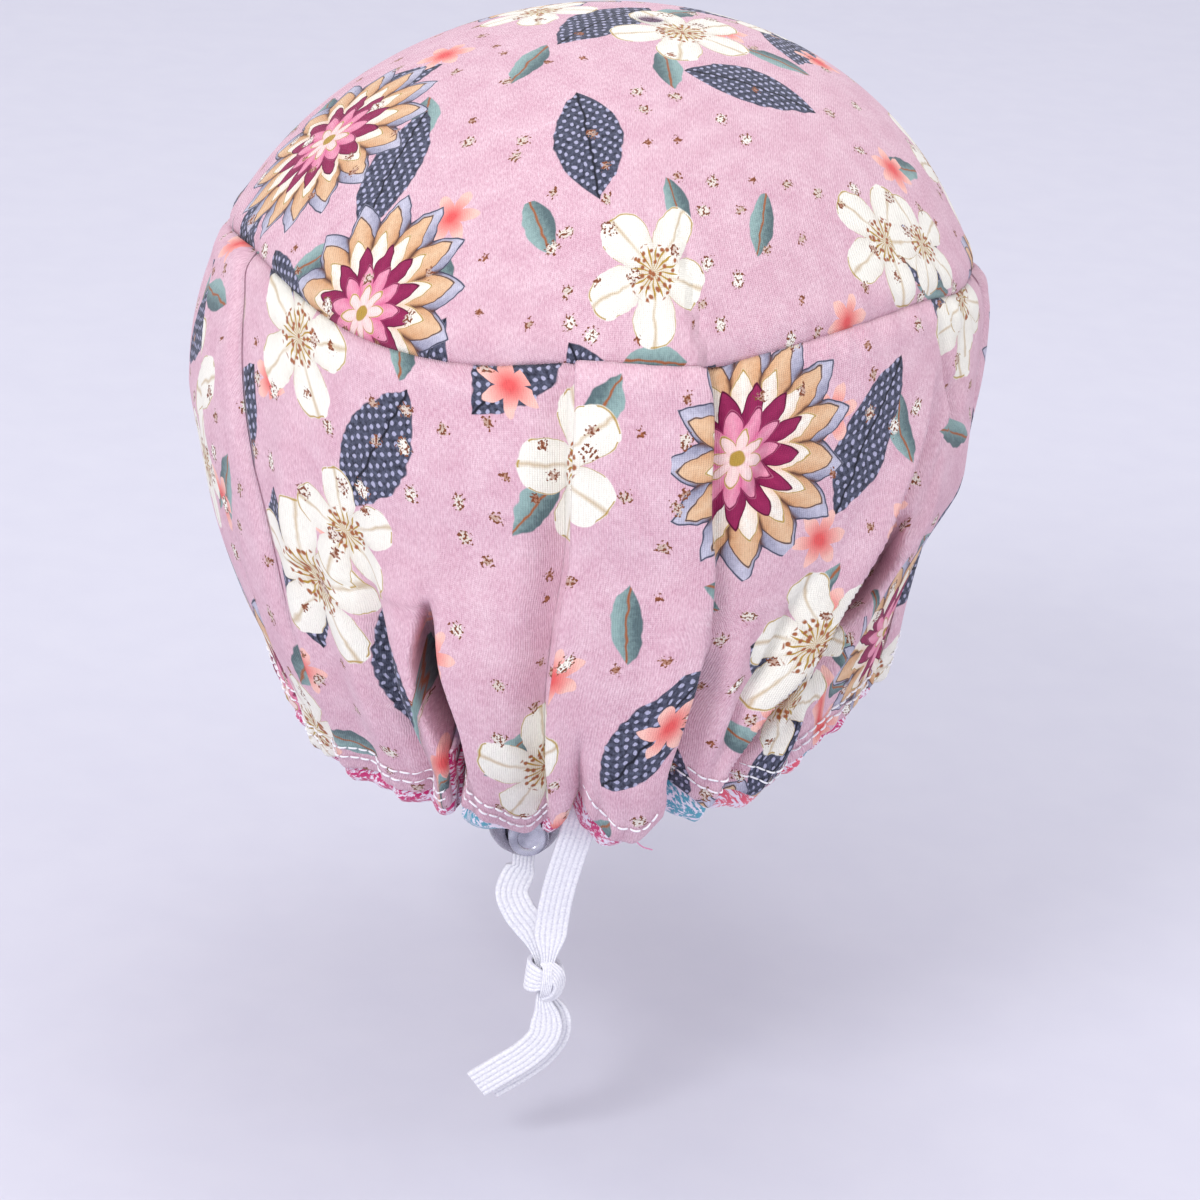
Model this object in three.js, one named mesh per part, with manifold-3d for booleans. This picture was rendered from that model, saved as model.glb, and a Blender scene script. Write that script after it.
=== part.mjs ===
// Scrub cap: a knit crown seamed to a lower band with a box pleat at the centre back,
// gathered on an elastic hem, with a drawcord lock. Millimetres, +Z up.
// The back of the cap faces -Y and the wearer looks along +Y. The origin is the place
// where the top of the head meets the inside of the crown.
import * as THREE from 'three';
import { mergeVertices } from 'three/addons/utils/BufferGeometryUtils.js';
import Module from 'manifold-3d';

// Overall form of the cap as worn
const halfWidth = 99.5;
const backDepth = 116;
const frontDepth = 110;
const domeHeight = 91.5;
const lowerHeight = 85;
const crownLean = 10;
const domePower = 2.05;

// Cloth and seams
const clothThickness = 1.8;
const casingThickness = 1.4;
const seamGap = 0.4;
const layerGap = 0.6;
const casingHeight = 16;
const casingShow = 6;
const casingTuck = 0.8;

// Pleats, folds and tucks
const boxPleatRise = 2.4;
const sidePleatRise = 1.6;
const sidePleatWidth = 13;
const pleatEdgeAngle = 1.2;
const foldDepth = 13;
const foldRun = 0.4;
const tuckRise = 1.6;
const tuckHeight = 36;
const tuckSpread = 3;
const crownPleatHeight = 7;
const seamGroove = 1.1;
const seamGrooveHeight = 6;

// Grid of the faceted walls
const crownRows = 9;
const crownStart = 8;
const crownCrowding = 0.8;
const panelRows = 13;
const leftColumns = 17;
const stripColumns = 5;
const rightColumns = 19;
const frontColumns = 24;
const gapColumns = 4;
const casingRows = 2;
const ballSides = 28;
const ballSteps = 11;
const plungerSides = 24;
const slotSides = 3;
const springSides = 6;
const springSteps = 12;
const elasticSides = 8;

// Drawcord lock: a ball with a blind bore for the plunger and a slot for the elastic
const ballRadius = 9;
const lockCentre = new THREE.Vector3(-15, -74, -174.5);
const mouthRadius = 5.9;
const plungerRadius = 4.75;
const plungerClearance = 0.35;
const plungerTravel = 3.5;
const plungerProud = 2.5;
const plungerTail = 2.4;
const plungerEdge = 0.6;
const ballWall = 2;
const cordSetback = -3;
const slotWidth = 9.4;
const slotCorner = 0.8;
const lockGap = 0.3;
const springRadius = 3.2;
const springWire = 0.6;
const springTurns = 3;

// Flat elastic
const elasticWidth = 8;
const elasticThickness = 1.2;
const squeezedWidth = 5.4;
const squeezedThickness = 2.2;
const knotWidth = 9;
const knotHeight = 10.8;
const knotDepth = 6.4;
const knotCore = 0.86;
const knotWrap = 0.5;
const knotTurn = 28;
const knotCentre = new THREE.Vector3(-8.4, -82, -212.6);

// Levels below the widest one. drop is a share of lowerHeight, side of halfWidth,
// back of backDepth, front of frontDepth and sway, the shift along X, of halfWidth.
const levels = [
  { drop: 0.00, side: 0.985, back: 0.985, front: 1.000, sway: 0.015 },
  { drop: 0.20, side: 0.930, back: 0.998, front: 0.985, sway: -0.012 },
  { drop: 0.40, side: 0.882, back: 0.997, front: 0.960, sway: -0.020 },
  { drop: 0.60, side: 0.830, back: 0.970, front: 0.930, sway: -0.008 },
  { drop: 0.75, side: 0.785, back: 0.925, front: 0.900, sway: 0.010 },
  { drop: 0.87, side: 0.745, back: 0.865, front: 0.870, sway: 0.004 },
  { drop: 0.95, side: 0.720, back: 0.810, front: 0.850, sway: 0.000 },
  { drop: 1.00, side: 0.700, back: 0.770, front: 0.840, sway: 0.000 },
  { drop: 1.15, side: 0.650, back: 0.690, front: 0.810, sway: 0.000 },
];

// Crown seam round the cap. angle is in degrees from the centre back towards +X,
// rise a share of domeHeight above the widest level.
const crownSeam = [
  { angle: -180, rise: 0.280 },
  { angle: -140, rise: 0.290 },
  { angle: -100, rise: 0.350 },
  { angle: -79, rise: 0.415 },
  { angle: -65, rise: 0.414 },
  { angle: -47, rise: 0.382 },
  { angle: -37, rise: 0.378 },
  { angle: -25, rise: 0.392 },
  { angle: -12, rise: 0.429 },
  { angle: 6.5, rise: 0.432 },
  { angle: 15, rise: 0.455 },
  { angle: 25, rise: 0.477 },
  { angle: 37, rise: 0.491 },
  { angle: 50, rise: 0.488 },
  { angle: 62, rise: 0.453 },
  { angle: 80, rise: 0.413 },
  { angle: 100, rise: 0.345 },
  { angle: 140, rise: 0.290 },
  { angle: 180, rise: 0.280 },
];

// Hem edge round the cap, with the lobes between the gathers. drop is a share of lowerHeight.
const hemEdge = [
  { angle: -180, drop: 0.125 },
  { angle: -140, drop: 0.390 },
  { angle: -100, drop: 0.780 },
  { angle: -75, drop: 0.905 },
  { angle: -58, drop: 0.945 },
  { angle: -50, drop: 0.935 },
  { angle: -39, drop: 0.918 },
  { angle: -30, drop: 0.925 },
  { angle: -25.5, drop: 0.820 },
  { angle: -20, drop: 0.890 },
  { angle: -13, drop: 0.965 },
  { angle: -9, drop: 0.860 },
  { angle: -5, drop: 0.740 },
  { angle: -1.8, drop: 0.835 },
  { angle: 1.6, drop: 0.872 },
  { angle: 5, drop: 0.865 },
  { angle: 9, drop: 0.750 },
  { angle: 16, drop: 0.785 },
  { angle: 22, drop: 0.735 },
  { angle: 30, drop: 0.785 },
  { angle: 38, drop: 0.690 },
  { angle: 60, drop: 0.740 },
  { angle: 100, drop: 0.640 },
  { angle: 140, drop: 0.330 },
  { angle: 180, drop: 0.125 },
];

// Lines that run down the back panel, in degrees. down is the share of the way from
// the crown seam to the hem.
const runningLines = [
  { down: 0.00, leftSeam: -76, stripLeft: -11.4, stripRight: 6.5, rightSeam: 80 },
  { down: 0.10, leftSeam: -69, stripLeft: -10.2, stripRight: 7.8, rightSeam: 78 },
  { down: 0.25, leftSeam: -62, stripLeft: -9.3, stripRight: 7.9, rightSeam: 74 },
  { down: 0.38, leftSeam: -58, stripLeft: -8.8, stripRight: 8.7, rightSeam: 70 },
  { down: 0.50, leftSeam: -56, stripLeft: -8.6, stripRight: 10.3, rightSeam: 66 },
  { down: 0.60, leftSeam: -55, stripLeft: -8.7, stripRight: 12.6, rightSeam: 64 },
  { down: 0.75, leftSeam: -54, stripLeft: -9.8, stripRight: 10.9, rightSeam: 62 },
  { down: 0.90, leftSeam: -53, stripLeft: -10.4, stripRight: 8.8, rightSeam: 61 },
  { down: 1.00, leftSeam: -53, stripLeft: -9.2, stripRight: 8.4, rightSeam: 60 },
];

// Folds that the gathered hem throws up. top and hem are the fold's angles, spread its
// half width in degrees, depth a share of foldDepth (inwards is negative), start the share
// of the way down at which it begins.
const folds = [
  { top: -60, hem: -52, spread: 8, depth: 0.30, start: 0.05 },
  { top: -44, hem: -43, spread: 4.5, depth: 0.16, start: 0.35 },
  { top: -37, hem: -33.5, spread: 3.6, depth: -0.34, start: 0.30 },
  { top: -27.5, hem: -27, spread: 3.8, depth: -1.00, start: 0.45 },
  { top: -19, hem: -19, spread: 5, depth: 0.24, start: 0.45 },
  { top: -5, hem: -5.5, spread: 3.4, depth: -0.42, start: 0.82 },
  { top: 3, hem: 3, spread: 4.5, depth: 0.22, start: 0.70 },
  { top: 11, hem: 10, spread: 3, depth: -0.34, start: 0.45 },
  { top: 17, hem: 16, spread: 4.5, depth: 0.18, start: 0.45 },
  { top: 34, hem: 22, spread: 3.4, depth: -0.40, start: 0.40 },
  { top: 40, hem: 27, spread: 4, depth: 0.16, start: 0.35 },
  { top: 50, hem: 33, spread: 4.2, depth: -0.70, start: 0.12 },
  { top: 58, hem: 42, spread: 6, depth: 0.28, start: 0.12 },
  { top: 68, hem: 55, spread: 4.5, depth: -0.30, start: 0.45 },
  { top: -68, hem: -66, spread: 5, depth: -0.30, start: 0.45 },
  { top: 90, hem: 85, spread: 6, depth: -0.28, start: 0.45 },
  { top: -90, hem: -88, spread: 6, depth: -0.28, start: 0.45 },
  { top: 112, hem: 108, spread: 7, depth: -0.18, start: 0.45 },
  { top: -112, hem: -110, spread: 7, depth: -0.18, start: 0.45 },
];

// Routes of the elastic, points chosen by hand; the first point of each is nearest the casing
const elasticRoutes = {
  feed: [[-25.1, -95.6, -160], [-22.5, -93.5, -159.3], [-19, -88, -158.8], [-16.3, -81.5, -160],
    [-15, -77.6, -162.8], [-15, -77, -165]],
  inLock: [[-15, -77, -165.4], [-15, -77, -174.5], [-15, -77, -183.6]],
  left: [[-15, -77, -184.2], [-15.1, -77.1, -186], [-16.4, -77.6, -188.6], [-17.4, -78.4, -192],
    [-15.5, -79.4, -196.5], [-12, -80.3, -201], [-9.8, -81, -207.4]],
  right: [[-3.2, -95.8, -155.2], [-3.6, -93.4, -160], [-4.8, -92, -169], [-6.2, -88.8, -179],
    [-7.3, -86.2, -188], [-7.9, -84.4, -197], [-8.1, -83.6, -207.3]],
  tailFront: [[-8.4, -83.3, -218.3], [-7.4, -83.6, -223], [-7.6, -83.6, -228], [-11.5, -83.2, -233.4],
    [-17.2, -82.8, -238], [-23, -82.4, -242.4]],
  tailBack: [[-7.4, -80.6, -218.3], [-5.2, -80.8, -223.6], [-4.8, -80.8, -229], [-8.2, -80.6, -235],
    [-14, -80.4, -240], [-19.6, -80.2, -244]],
};

const degree = Math.PI / 180;
const widestZ = clothThickness - domeHeight;
const seamGapAngle = seamGap / halfWidth / degree;

// Colours from the object: dusty pink knit, mottled pink facing, white elastic, grey lock
function surface(name, color, roughness, metalness) {
  const material = new THREE.MeshStandardMaterial({ color, roughness, metalness });
  material.name = name;
  return material;
}
const pinkKnit = surface('pink_knit', 0xd9b6c8, 0.92, 0);
const facingKnit = surface('facing_knit', 0xc8709a, 0.92, 0);
const whiteElastic = surface('white_elastic', 0xe6e6f0, 0.85, 0);
const greyPlastic = surface('grey_plastic', 0x828291, 0.25, 0);
const springSteel = surface('spring_steel', 0xb8b8bc, 0.3, 1);

// A smooth curve through one column of a table
function readTable(table, key, value, at) {
  const last = table.length - 1;
  if (at <= table[0][key]) return table[0][value];
  if (at >= table[last][key]) return table[last][value];
  let i = 0;
  while (at > table[i + 1][key]) i += 1;
  const slope = (a, b) => (table[b][value] - table[a][value]) / (table[b][key] - table[a][key]);
  const gap = table[i + 1][key] - table[i][key];
  const t = (at - table[i][key]) / gap;
  const startSlope = i > 0 ? slope(i - 1, i + 1) : slope(i, i + 1);
  const endSlope = i + 2 <= last ? slope(i, i + 2) : slope(i, i + 1);
  const t2 = t * t;
  const t3 = t2 * t;
  return (2 * t3 - 3 * t2 + 1) * table[i][value] + (t3 - 2 * t2 + t) * gap * startSlope
    + (3 * t2 - 2 * t3) * table[i + 1][value] + (t3 - t2) * gap * endSlope;
}

const ramp = (from, to, x) => {
  const t = Math.min(1, Math.max(0, (x - from) / (to - from)));
  return t * t * (3 - 2 * t);
};
const wrapAngle = (angle) => ((angle + 540) % 360) - 180;
const seamZ = (angle) => widestZ + domeHeight * readTable(crownSeam, 'angle', 'rise', wrapAngle(angle));
const hemZ = (angle) => widestZ - lowerHeight * readTable(hemEdge, 'angle', 'drop', wrapAngle(angle));

// The smooth form under the folds: an ellipse at each level
function basePoint(angle, z) {
  const rise = Math.min(1, Math.max(0, (z - widestZ) / domeHeight));
  const shrink = (1 - rise ** domePower) ** (1 / domePower);
  const drop = Math.max(0, (widestZ - z) / lowerHeight);
  const level = (key) => readTable(levels, 'drop', key, drop);
  const sway = halfWidth * level('sway') * (1 - rise) ** 2 + crownLean * rise ** 1.5;
  const along = Math.cos(angle * degree);
  const depth = along > 0 ? backDepth * level('back') : frontDepth * level('front');
  return new THREE.Vector3(
    sway + halfWidth * level('side') * shrink * Math.sin(angle * degree), -depth * shrink * along, z);
}

function baseNormal(angle, z) {
  const stepAngle = 0.5;
  const stepZ = 0.2;
  const lower = z - stepZ;
  const upper = z + stepZ;
  const around = basePoint(angle + stepAngle, lower).sub(basePoint(angle - stepAngle, lower));
  const up = basePoint(angle, upper).sub(basePoint(angle, lower));
  return around.cross(up).normalize();
}

// How far the cloth stands off the smooth form
function foldOffset(angle, z) {
  const seam = seamZ(angle);
  const down = Math.max(0, (seam - z) / (seam - hemZ(angle)));
  let offset = 0;
  for (const fold of folds) {
    const centre = fold.top + (fold.hem - fold.top) * Math.min(1, down);
    const away = Math.abs(wrapAngle(angle - centre)) / fold.spread;
    if (away < 2) {
      offset += foldDepth * fold.depth * ramp(fold.start, fold.start + foldRun, down)
        * Math.cos(away * Math.PI / 4) ** 4;
    }
  }
  const fromSeam = Math.abs(z - seam) / seamGrooveHeight;
  if (fromSeam < 1) offset -= seamGroove * (1 - fromSeam) ** 2;
  return offset;
}

const lineAngle = (name, down) => readTable(runningLines, 'down', name, down);

// The tuck that runs up the crown from the right edge of the pleat
function tuckOffset(angle, z) {
  const seam = seamZ(angle);
  const up = (z - seam) / tuckHeight;
  if (up < 0 || up > 1) return 0;
  const away = Math.abs(wrapAngle(angle - lineAngle('stripRight', 0) * (1 - up))) / tuckSpread;
  return away < 1 ? tuckRise * (1 - up) * (1 - away) ** 2 * (1 + 2 * away) : 0;
}

// Angles of the columns round the cap at a share of the way down, and how far each
// stands proud as part of a pleat. All panels share these columns, so their edges match.
function columnsAt(down) {
  const columns = [];
  const run = (from, to, count, rise) => {
    for (let i = 0; i < count; i += 1) {
      columns.push({ angle: from + (to - from) * i / count, rise });
    }
  };
  const left = lineAngle('leftSeam', down);
  const stripLeft = lineAngle('stripLeft', down);
  const stripRight = lineAngle('stripRight', down);
  const right = lineAngle('rightSeam', down);
  run(left, stripLeft - pleatEdgeAngle, leftColumns, 0);
  columns.push({ angle: stripLeft - pleatEdgeAngle, rise: 0 });
  run(stripLeft, stripRight, stripColumns, boxPleatRise);
  columns.push({ angle: stripRight, rise: boxPleatRise });
  run(stripRight + pleatEdgeAngle, right, rightColumns, 0);
  columns.push({ angle: right, rise: 0 });
  columns.push({ angle: right + seamGapAngle, rise: sidePleatRise });
  columns.push({ angle: right + sidePleatWidth, rise: sidePleatRise });
  run(right + sidePleatWidth + pleatEdgeAngle, 360 + left - sidePleatWidth - pleatEdgeAngle, frontColumns, 0);
  columns.push({ angle: 360 + left - sidePleatWidth - pleatEdgeAngle, rise: 0 });
  columns.push({ angle: 360 + left - sidePleatWidth, rise: sidePleatRise });
  columns.push({ angle: 360 + left - seamGapAngle, rise: sidePleatRise });
  return columns;
}

const backColumnCount = leftColumns + stripColumns + rightColumns + 3;
const columnCount = columnsAt(0).length;

// A point of the cap's cloth, inset from the outer face
function clothPoint(angle, z, rise, inset) {
  const stand = foldOffset(angle, z) + tuckOffset(angle, z) + rise;
  return basePoint(angle, z).addScaledVector(baseNormal(angle, z), stand - inset);
}

// A closed wall between an outer and an inner grid; place(row, column, inner) gives a point
function clothWall(rows, columns, closedRound, place, apex) {
  const points = [];
  const faces = [];
  for (const inner of [false, true]) {
    for (let row = 0; row < rows; row += 1) {
      for (let column = 0; column < columns; column += 1) points.push(place(row, column, inner));
    }
  }
  const layer = rows * columns;
  const at = (row, column, inner) => (inner ? layer : 0) + row * columns + (column % columns);
  const quad = (a, b, c, d) => faces.push(a, c, d, a, d, b);
  const spans = closedRound ? columns : columns - 1;
  for (let row = 0; row < rows - 1; row += 1) {
    for (let column = 0; column < spans; column += 1) {
      const corners = (inner) => [at(row, column, inner), at(row, column + 1, inner),
        at(row + 1, column, inner), at(row + 1, column + 1, inner)];
      quad(...corners(false));
      const [a, b, c, d] = corners(true);
      faces.push(a, d, c, a, b, d);
    }
  }
  for (let column = 0; column < spans; column += 1) {
    const edge = (row, inner) => [at(row, column, inner), at(row, column + 1, inner)];
    quad(...edge(rows - 1, false), ...edge(rows - 1, true));
    if (!apex) quad(...edge(0, true), ...edge(0, false));
  }
  if (apex) {
    points.push(apex(false), apex(true));
    for (let column = 0; column < spans; column += 1) {
      faces.push(2 * layer, at(0, column, false), at(0, column + 1, false));
      faces.push(2 * layer + 1, at(0, column + 1, true), at(0, column, true));
    }
  }
  if (!closedRound) {
    const end = columns - 1;
    for (let row = 0; row < rows - 1; row += 1) {
      quad(at(row, 0, true), at(row, 0, false), at(row + 1, 0, true), at(row + 1, 0, false));
      quad(at(row, end, false), at(row, end, true), at(row + 1, end, false), at(row + 1, end, true));
    }
  }
  const geometry = new THREE.BufferGeometry();
  geometry.setAttribute('position', new THREE.Float32BufferAttribute(points.flatMap((p) => p.toArray()), 3));
  geometry.setIndex(faces);
  geometry.computeVertexNormals();
  return geometry;
}

// The crown, from near its apex down to the seam
function makeCrown() {
  const columns = columnsAt(0);
  const high = Math.PI / 2 - crownStart * degree;
  const place = (row, column, inner) => {
    const { angle, rise } = columns[column];
    const low = Math.asin((seamZ(angle) + seamGap / 2 - widestZ) / domeHeight);
    const up = high + (low - high) * (row / (crownRows - 1)) ** crownCrowding;
    const z = widestZ + domeHeight * Math.sin(up);
    const fade = ramp(crownPleatHeight, 0, z - seamZ(angle));
    return clothPoint(angle, z, rise * fade, inner ? clothThickness : 0);
  };
  const apex = (inner) => new THREE.Vector3(crownLean, 0, inner ? 0 : clothThickness);
  return clothWall(crownRows, columnCount, true, place, apex);
}

// Rows of the lower panels: even ones down to the casing, then those that the casing shares
function panelPoint(row, column, inset) {
  const lastEven = panelRows - 1 - casingRows;
  const even = Math.min(1, row / lastEven);
  const guess = columnsAt(Math.min(1, row / (panelRows - 1)))[column].angle;
  const reach = (angle) => {
    const top = seamZ(angle) - seamGap / 2;
    const hem = hemZ(angle);
    if (row <= lastEven) return top + (hem + casingHeight - top) * even;
    return hem + casingHeight * (panelRows - 1 - row) / casingRows;
  };
  const down = (seamZ(guess) - reach(guess)) / (seamZ(guess) - hemZ(guess));
  const { angle, rise } = columnsAt(row === 0 ? 0 : Math.min(1, Math.max(0, down)))[column];
  return clothPoint(angle, reach(angle), rise, inset);
}

function makePanel(first, count) {
  const place = (row, column, inner) => (
    panelPoint(row, (first + column) % columnCount, inner ? clothThickness : 0));
  return clothWall(panelRows, count, false, place);
}

// The facing inside the hem, with its lower edge rolled out below the hem
function makeCasing() {
  const count = columnCount - gapColumns;
  const first = leftColumns + 1;
  const place = (row, column, inner) => {
    const at = (first + column) % columnCount;
    const inset = clothThickness + layerGap + (inner ? casingThickness : 0);
    if (row <= casingRows) return panelPoint(panelRows - 1 - casingRows + row, at, inset);
    const { angle, rise } = columnsAt(1)[at];
    return clothPoint(angle, hemZ(angle) - casingShow, rise, inset + casingTuck);
  };
  return clothWall(casingRows + 2, count, false, place);
}

// Solids of manifold-3d from three.js geometry
const wasm = await Module();
wasm.setup();

function toSolid(geometry) {
  const bare = new THREE.BufferGeometry();
  bare.setAttribute('position', geometry.getAttribute('position').clone());
  if (geometry.index) bare.setIndex(geometry.index.clone());
  const merged = mergeVertices(bare, 1e-4);
  return new wasm.Manifold(new wasm.Mesh({
    numProp: 3,
    vertProperties: new Float32Array(merged.getAttribute('position').array),
    triVerts: new Uint32Array(merged.index.array),
  }));
}

function toGeometry(solid) {
  const mesh = solid.getMesh();
  const geometry = new THREE.BufferGeometry();
  geometry.setAttribute('position', new THREE.BufferAttribute(new Float32Array(mesh.vertProperties), 3));
  geometry.setIndex(new THREE.BufferAttribute(new Uint32Array(mesh.triVerts), 1));
  geometry.computeVertexNormals();
  return geometry;
}

// A slot with rounded corners, cut right through along Z; its width runs along X
function slotThrough(width, length, height) {
  const shape = new THREE.Shape();
  const radius = slotCorner;
  const [alongX, alongY] = [width / 2 - radius, length / 2 - radius];
  for (const [cornerX, cornerY, turn] of [[1, 1, 0], [-1, 1, 1], [-1, -1, 2], [1, -1, 3]]) {
    for (let i = 0; i <= slotSides; i += 1) {
      const bend = (turn + i / slotSides) * Math.PI / 2;
      const x = cornerX * alongX + radius * Math.cos(bend);
      const y = cornerY * alongY + radius * Math.sin(bend);
      if (turn === 0 && i === 0) shape.moveTo(x, y);
      else shape.lineTo(x, y);
    }
  }
  const slot = new THREE.ExtrudeGeometry(shape, { depth: height, bevelEnabled: false });
  return slot.translate(0, 0, -height / 2);
}

// Places inside the lock along its axis, from the ball's centre towards +Y
const cordFront = cordSetback - squeezedThickness / 2;
const cordBack = cordSetback + squeezedThickness / 2;
const mouthY = -Math.sqrt(ballRadius ** 2 - mouthRadius ** 2);
const boreBottom = ballRadius - ballWall;
const plungerTip = -ballRadius - plungerProud;
const plungerSlotFront = cordFront - 2 * lockGap - plungerTravel;
const plungerSlotBack = cordBack + lockGap;
const plungerEnd = plungerSlotBack + plungerTail;

// A turned profile: one half of a section, spun about Y
function turned(profile, sides) {
  return toSolid(new THREE.LatheGeometry(profile.map(([r, y]) => new THREE.Vector2(r, y)), sides));
}

function makeBarrel() {
  const boreRadius = plungerRadius + plungerClearance;
  const mouthEnd = Math.asin(mouthY / ballRadius);
  const profile = [[0, mouthY], [boreRadius, mouthY]];
  for (let i = 0; i <= ballSteps; i += 1) {
    const bend = mouthEnd + (Math.PI / 2 - mouthEnd) * i / ballSteps;
    profile.push([i === ballSteps ? 0 : ballRadius * Math.cos(bend), ballRadius * Math.sin(bend)]);
  }
  const ball = turned(profile, ballSides);
  const boreMouth = -ballRadius;
  const bore = turned(
    [[0, boreMouth], [boreRadius, boreMouth], [boreRadius, boreBottom], [0, boreBottom]], ballSides);
  const channelFront = cordFront - lockGap;
  const channelBack = cordBack + 2 * lockGap;
  const channel = toSolid(slotThrough(slotWidth, channelBack - channelFront, 4 * ballRadius)
    .translate(0, (channelFront + channelBack) / 2, 0));
  return toGeometry(ball.subtract(bore).subtract(channel));
}

function makePlunger() {
  const body = turned([[0, plungerTip], [plungerRadius - plungerEdge, plungerTip],
    [plungerRadius, plungerTip + plungerEdge], [plungerRadius, plungerEnd], [0, plungerEnd]], plungerSides);
  const slotLength = plungerSlotBack - plungerSlotFront;
  const slot = toSolid(slotThrough(squeezedWidth + 2 * lockGap, slotLength, 4 * plungerRadius)
    .translate(0, (plungerSlotFront + plungerSlotBack) / 2, 0));
  return toGeometry(body.subtract(slot));
}

function makeSpring() {
  const from = plungerEnd + lockGap + springWire / 2;
  const to = boreBottom - lockGap - springWire / 2;
  class Helix extends THREE.Curve {
    getPoint(t, target = new THREE.Vector3()) {
      const turn = 2 * Math.PI * springTurns * t;
      const y = from + (to - from) * t;
      return target.set(springRadius * Math.cos(turn), y, springRadius * Math.sin(turn));
    }
  }
  return tubeAlong(new Helix(), springWire, springWire, springSteps * springTurns, springSides);
}

// A tube of flat or round section along a path. Its thickness lies along the path's
// normal and its width across it.
function tubeAlong(path, width, thickness, steps, sides) {
  const section = new THREE.Shape();
  for (let i = 0; i < sides; i += 1) {
    const bend = (i + 0.5) * 2 * Math.PI / sides;
    const power = width === thickness ? 1 : 0.5;
    const flatten = (value) => Math.sign(value) * Math.abs(value) ** power;
    const x = thickness / 2 * flatten(Math.cos(bend));
    const y = width / 2 * flatten(Math.sin(bend));
    if (i === 0) section.moveTo(x, y);
    else section.lineTo(x, y);
  }
  return new THREE.ExtrudeGeometry(section, { steps, extrudePath: path, bevelEnabled: false });
}

// The elastic turns its thin side along the path's first normal where that points at -Y,
// and its wide side otherwise
function makeElastic(route, width, thickness, steps) {
  const path = new THREE.CatmullRomCurve3(route.map((p) => new THREE.Vector3(...p)), false, 'centripetal');
  const start = path.getTangentAt(0);
  const facesBack = Math.abs(start.y) <= Math.min(Math.abs(start.x), Math.abs(start.z));
  return facesBack ? tubeAlong(path, width, thickness, steps, elasticSides)
    : tubeAlong(path, thickness, width, steps, elasticSides);
}

// The knot: a rounded lump with one turn of the elastic wrapped across it
function makeKnot() {
  const lump = toSolid(new THREE.SphereGeometry(0.5, 14, 10)
    .scale(knotWidth * knotCore, knotDepth * knotCore, knotHeight));
  const wrap = toSolid(new THREE.SphereGeometry(0.5, 14, 8)
    .scale(knotWidth, knotDepth, knotHeight * knotWrap).rotateY(knotTurn * degree));
  return toGeometry(lump.add(wrap));
}

function addPart(group, name, geometry, material, place) {
  const part = new THREE.Mesh(geometry, material);
  part.name = name;
  if (place) part.position.copy(place);
  group.add(part);
}

const cap = new THREE.Group();
addPart(cap, 'crown', makeCrown(), pinkKnit);
addPart(cap, 'back_panel', makePanel(0, backColumnCount), pinkKnit);
addPart(cap, 'front_panel', makePanel(backColumnCount, columnCount - backColumnCount), pinkKnit);
addPart(cap, 'hem_casing', makeCasing(), facingKnit);
addPart(cap, 'lock_barrel', makeBarrel(), greyPlastic, lockCentre);
addPart(cap, 'lock_plunger', makePlunger(), greyPlastic, lockCentre);
addPart(cap, 'lock_spring', makeSpring(), springSteel, lockCentre);

function addElastic(name, route, width, thickness, steps) {
  addPart(cap, name, makeElastic(route, width, thickness, steps), whiteElastic);
}
addElastic('elastic_feed', elasticRoutes.feed, squeezedWidth, elasticThickness, 10);
addElastic('elastic_in_lock', elasticRoutes.inLock, squeezedWidth, squeezedThickness, 2);
addElastic('elastic_left', elasticRoutes.left, elasticWidth, elasticThickness, 12);
addElastic('elastic_right', elasticRoutes.right, elasticWidth, elasticThickness, 16);
addPart(cap, 'elastic_knot', makeKnot(), whiteElastic, knotCentre);
addElastic('elastic_tail_front', elasticRoutes.tailFront, elasticWidth, elasticThickness, 12);
addElastic('elastic_tail_back', elasticRoutes.tailBack, elasticWidth, elasticThickness, 12);

export default cap;
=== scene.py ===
# %% [markdown]
# # A stretchy scrub cap on its own
# This lesson dresses a scrub cap for Blender. The cap is four pieces of printed jersey: a
# crown, a pleated back, a front and a facing in the hem. A flat elastic draws the hem in
# and a ball lock holds it. The frame that we load already has every piece at its place,
# so each step here only makes a piece look like the real one.

# %% Load the frame
import math
import bmesh
import bpy
import numpy as np
from mathutils import Matrix, Vector


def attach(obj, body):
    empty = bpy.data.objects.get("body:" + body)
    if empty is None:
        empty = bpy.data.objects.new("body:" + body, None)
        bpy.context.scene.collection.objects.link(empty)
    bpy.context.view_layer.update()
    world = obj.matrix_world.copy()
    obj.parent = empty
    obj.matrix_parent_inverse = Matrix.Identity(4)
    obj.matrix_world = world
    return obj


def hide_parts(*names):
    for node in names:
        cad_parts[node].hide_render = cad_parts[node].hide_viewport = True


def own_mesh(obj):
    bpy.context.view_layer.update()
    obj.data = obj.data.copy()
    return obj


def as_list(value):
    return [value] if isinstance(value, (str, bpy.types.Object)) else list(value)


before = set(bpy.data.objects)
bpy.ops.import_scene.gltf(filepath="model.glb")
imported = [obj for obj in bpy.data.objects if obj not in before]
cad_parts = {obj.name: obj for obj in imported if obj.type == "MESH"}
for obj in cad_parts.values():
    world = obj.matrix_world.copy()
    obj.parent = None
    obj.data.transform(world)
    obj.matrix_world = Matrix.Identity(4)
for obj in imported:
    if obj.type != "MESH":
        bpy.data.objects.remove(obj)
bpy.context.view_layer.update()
print("nodes in the frame:", sorted(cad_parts))

mm = 0.001
full_turn = 2 * math.pi

# %% [markdown]
# ## The camera
# The cap is seen from behind and a little above, and the view is rolled by a few degrees.
# A camera can be turned with a Track To constraint, but that can't roll it. So its place is
# a chain of plain moves, read from the left: go to the middle of the cap, turn and tilt,
# slide to what the view is centred on, roll, and step back.

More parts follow.
